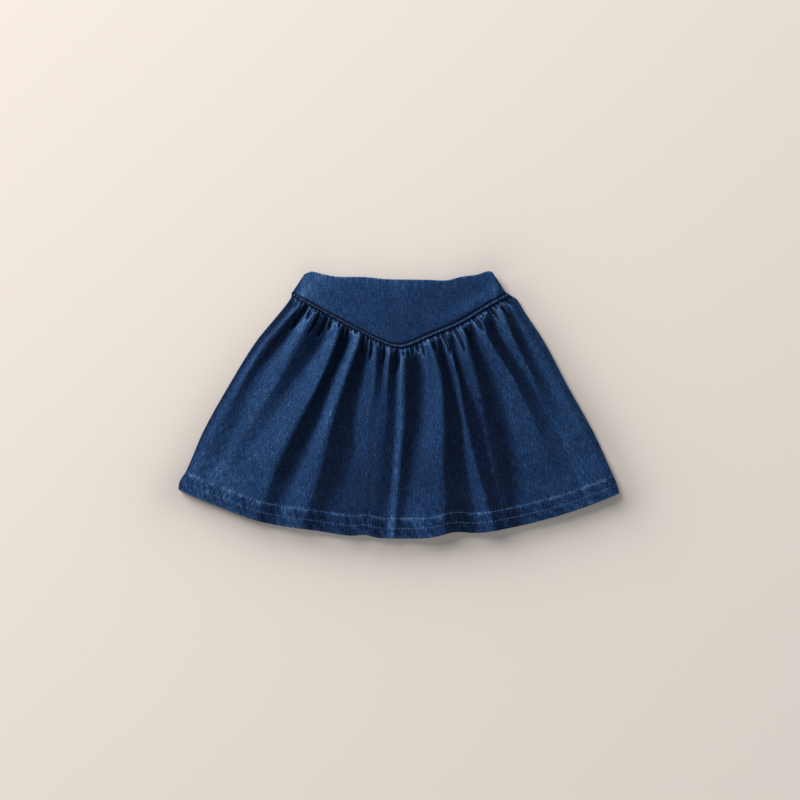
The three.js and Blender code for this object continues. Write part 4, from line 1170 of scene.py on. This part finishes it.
class SKIRT_OT_topstitching(bpy.types.Operator):
    """Topstitching along the yoke seam and the hems"""

    bl_idname = "skirt.topstitching"
    bl_label = "Topstitching"

    def execute(self, context):
        settings = context.scene.skirt_sewing
        seam = thread("seam_thread", settings.seam_thread)
        hem = thread("hem_thread", settings.hem_thread)
        path, normals = front_row(lambda length: 0 * length + SEAM_STITCH_DOWN)
        rows = [(stitches("yoke_seam_topstitch", path, normals, settings), seam)]
        for number, up in enumerate(HEM_STITCH_UP, start=1):
            path, normals = front_row(lambda length, up=up: length - up)
            name = f"front_hem_topstitch_{number}"
            rows.append((stitches(name, path, normals, settings, phase=0.4 * number), hem))
            s = row_columns()
            x, y = panel_place(back_edge, s, 1 - up / column_length(back_edge, s))
            path = np.stack([x, y, 0 * x + BACK_STITCH_Z], axis=-1)
            normals = np.broadcast_to((0.0, 0.0, -1.0), path.shape)
            name = f"back_hem_topstitch_{number}"
            rows.append((stitches(name, path, normals, settings, phase=0.2 * number), hem))
        for row, material in rows:
            row.data.materials.append(material)
            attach(row, "root")
        return {"FINISHED"}


def floor_shade(x, y):
    """How much of its colour the floor keeps: a painted shadow darkens it softly towards the skirt's
    outline, most below the hem, as under a wide lamp, and painted light makes it lighter in a narrow glow
    right beside the hem."""
    share = np.linspace(0, 1, 120)
    left = panel_place(front_edge, 0 * share, share)
    right = panel_place(front_edge, 0 * share + 1, share)
    hem = panel_place(front_edge, share, 0 * share + 1)
    head = mix(YOKE_TOP[0, 0], YOKE_TOP[-1, 0], share)
    top = head, yoke_top_y(head)
    rim_x, rim_y = np.concatenate([np.stack(side) for side in (left, right, hem, top)], axis=1)
    distance = np.hypot(x[:, None] - rim_x, y[:, None] - rim_y).min(axis=1)
    from_middle = np.hypot(x, y)
    right_share, below_share = x / from_middle, -y / from_middle
    amount = FLOOR_SHADE["all"] + FLOOR_SHADE["below"] * below_share + FLOOR_SHADE["right"] * right_share
    shade = 1 - amount / (1 + (distance / FLOOR_SHADE["reach"]) ** 2)
    glow = FLOOR_GLOW["amount"] * ease(1.3 * below_share) * np.exp(-((distance / FLOOR_GLOW["reach"]) ** 2))
    glow = glow * ease((x - FLOOR_GLOW["from_x"]) / FLOOR_GLOW["grow"])
    return np.minimum(FLOOR_GLOW["most"], shade + glow)


class SKIRT_OT_studio(bpy.types.Operator):
    """Pale floor with a painted shadow and a painted glow round the skirt, soft light from the upper left,
    and the camera straight above
    """

    bl_idname = "skirt.studio"
    bl_label = "Studio"

    def execute(self, context):
        settings = context.scene.skirt_studio
        near = np.linspace(*FLOOR_GRID["near"])
        marks = np.concatenate([FLOOR_GRID["left"], near, FLOOR_GRID["right"]]) / MM
        x, y = np.meshgrid(marks, marks)
        ids = np.arange(x.size).reshape(x.shape)
        squares = np.stack([ids[:-1, :-1], ids[:-1, 1:], ids[1:, 1:], ids[1:, :-1]], -1).reshape(-1, 4)
        points = np.stack([x, y, 0 * x], axis=-1).reshape(-1, 3)
        floor = put_mesh("floor", points, [squares])
        # the floor's colour keeps this share: painted shadow and painted glow round the skirt
        shade = floor_shade(points[:, 0], points[:, 1])
        attribute = floor.data.attributes.new("shade", "FLOAT", "POINT")
        attribute.data.foreach_set("value", shade.astype(np.float32))
        paint, tree, shader = new_material("pale_floor")
        soft = add_node(tree, "ShaderNodeAttribute", (-700, 0), attribute_name="shade").outputs["Fac"]
        tone = add_node(tree, "ShaderNodeVectorMath", (-400, 0), operation="SCALE")
        tone.inputs[0].default_value = settings.floor_colour
        tree.links.new(soft, tone.inputs["Scale"])
        tree.links.new(tone.outputs["Vector"], shader.inputs["Base Color"])
        shader.inputs["Roughness"].default_value = 0.95
        shader.inputs["Specular IOR Level"].default_value = 0.0
        floor.data.materials.append(paint)

        key = bpy.data.lights.new("key", "AREA")
        key.shape = "DISK"
        key.size = settings.key_size
        key.energy = settings.key_power
        key.color = (1.0, 0.985, 0.96)
        lamp = bpy.data.objects.new("key", key)
        up, turn = radians(settings.key_elevation), radians(settings.key_azimuth)
        level = KEY_DISTANCE * cos(up)
        lamp.location = (level * cos(turn), level * sin(turn), KEY_DISTANCE * sin(up))
        lamp.rotation_euler = (pi / 2 - up, 0, pi / 2 + turn)
        context.scene.collection.objects.link(lamp)

        world = bpy.data.worlds.new("studio_sky")
        world.use_nodes = True
        sky = world.node_tree.nodes["Background"]
        sky.inputs["Color"].default_value = (0.96, 0.98, 1.0, 1)
        sky.inputs["Strength"].default_value = settings.sky_strength
        context.scene.world = world

        lens = bpy.data.cameras.new("camera")
        lens.sensor_width = 36
        lens.lens = lens.sensor_width * settings.camera_height / settings.field
        camera = bpy.data.objects.new("camera", lens)
        camera.location = (*CAMERA_OVER, settings.camera_height)
        context.scene.collection.objects.link(camera)
        context.scene.camera = camera
        context.scene.view_settings.view_transform = "Standard"
        return {"FINISHED"}


class SKIRT_PT_pieces(bpy.types.Panel):
    """The skirt's pieces and their settings"""

    bl_label = "Denim mini skirt"
    bl_idname = "SKIRT_PT_pieces"
    bl_space_type = "VIEW_3D"
    bl_region_type = "UI"
    bl_category = "Skirt"

    def draw(self, context):
        layout = self.layout
        for operator in PIECES:
            layout.operator(operator.bl_idname)
        for group in SETTINGS:
            box = layout.box()
            settings = getattr(context.scene, group)
            for key in settings.__annotations__:
                box.prop(settings, key)


SETTINGS = {"skirt_denim": SkirtDenim, "skirt_sewing": SkirtSewing, "skirt_studio": SkirtStudio}
PIECES = (
    SKIRT_OT_back_panel,
    SKIRT_OT_waistband,
    SKIRT_OT_front_panel,
    SKIRT_OT_yoke,
    SKIRT_OT_topstitching,
    SKIRT_OT_studio,
)


def register():
    for cls in (*SETTINGS.values(), *PIECES, SKIRT_PT_pieces):
        bpy.utils.register_class(cls)
    for name, group in SETTINGS.items():
        setattr(bpy.types.Scene, name, bpy.props.PointerProperty(type=group))


def unregister():
    for name in SETTINGS:
        delattr(bpy.types.Scene, name)
    for cls in reversed((*SETTINGS.values(), *PIECES, SKIRT_PT_pieces)):
        bpy.utils.unregister_class(cls)


def main():
    """Registers the add-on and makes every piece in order."""
    register()
    bpy.ops.skirt.back_panel()
    bpy.ops.skirt.waistband()
    bpy.ops.skirt.front_panel()
    bpy.ops.skirt.yoke()
    bpy.ops.skirt.topstitching()
    bpy.ops.skirt.studio()


if __name__ == "__main__":
    main()
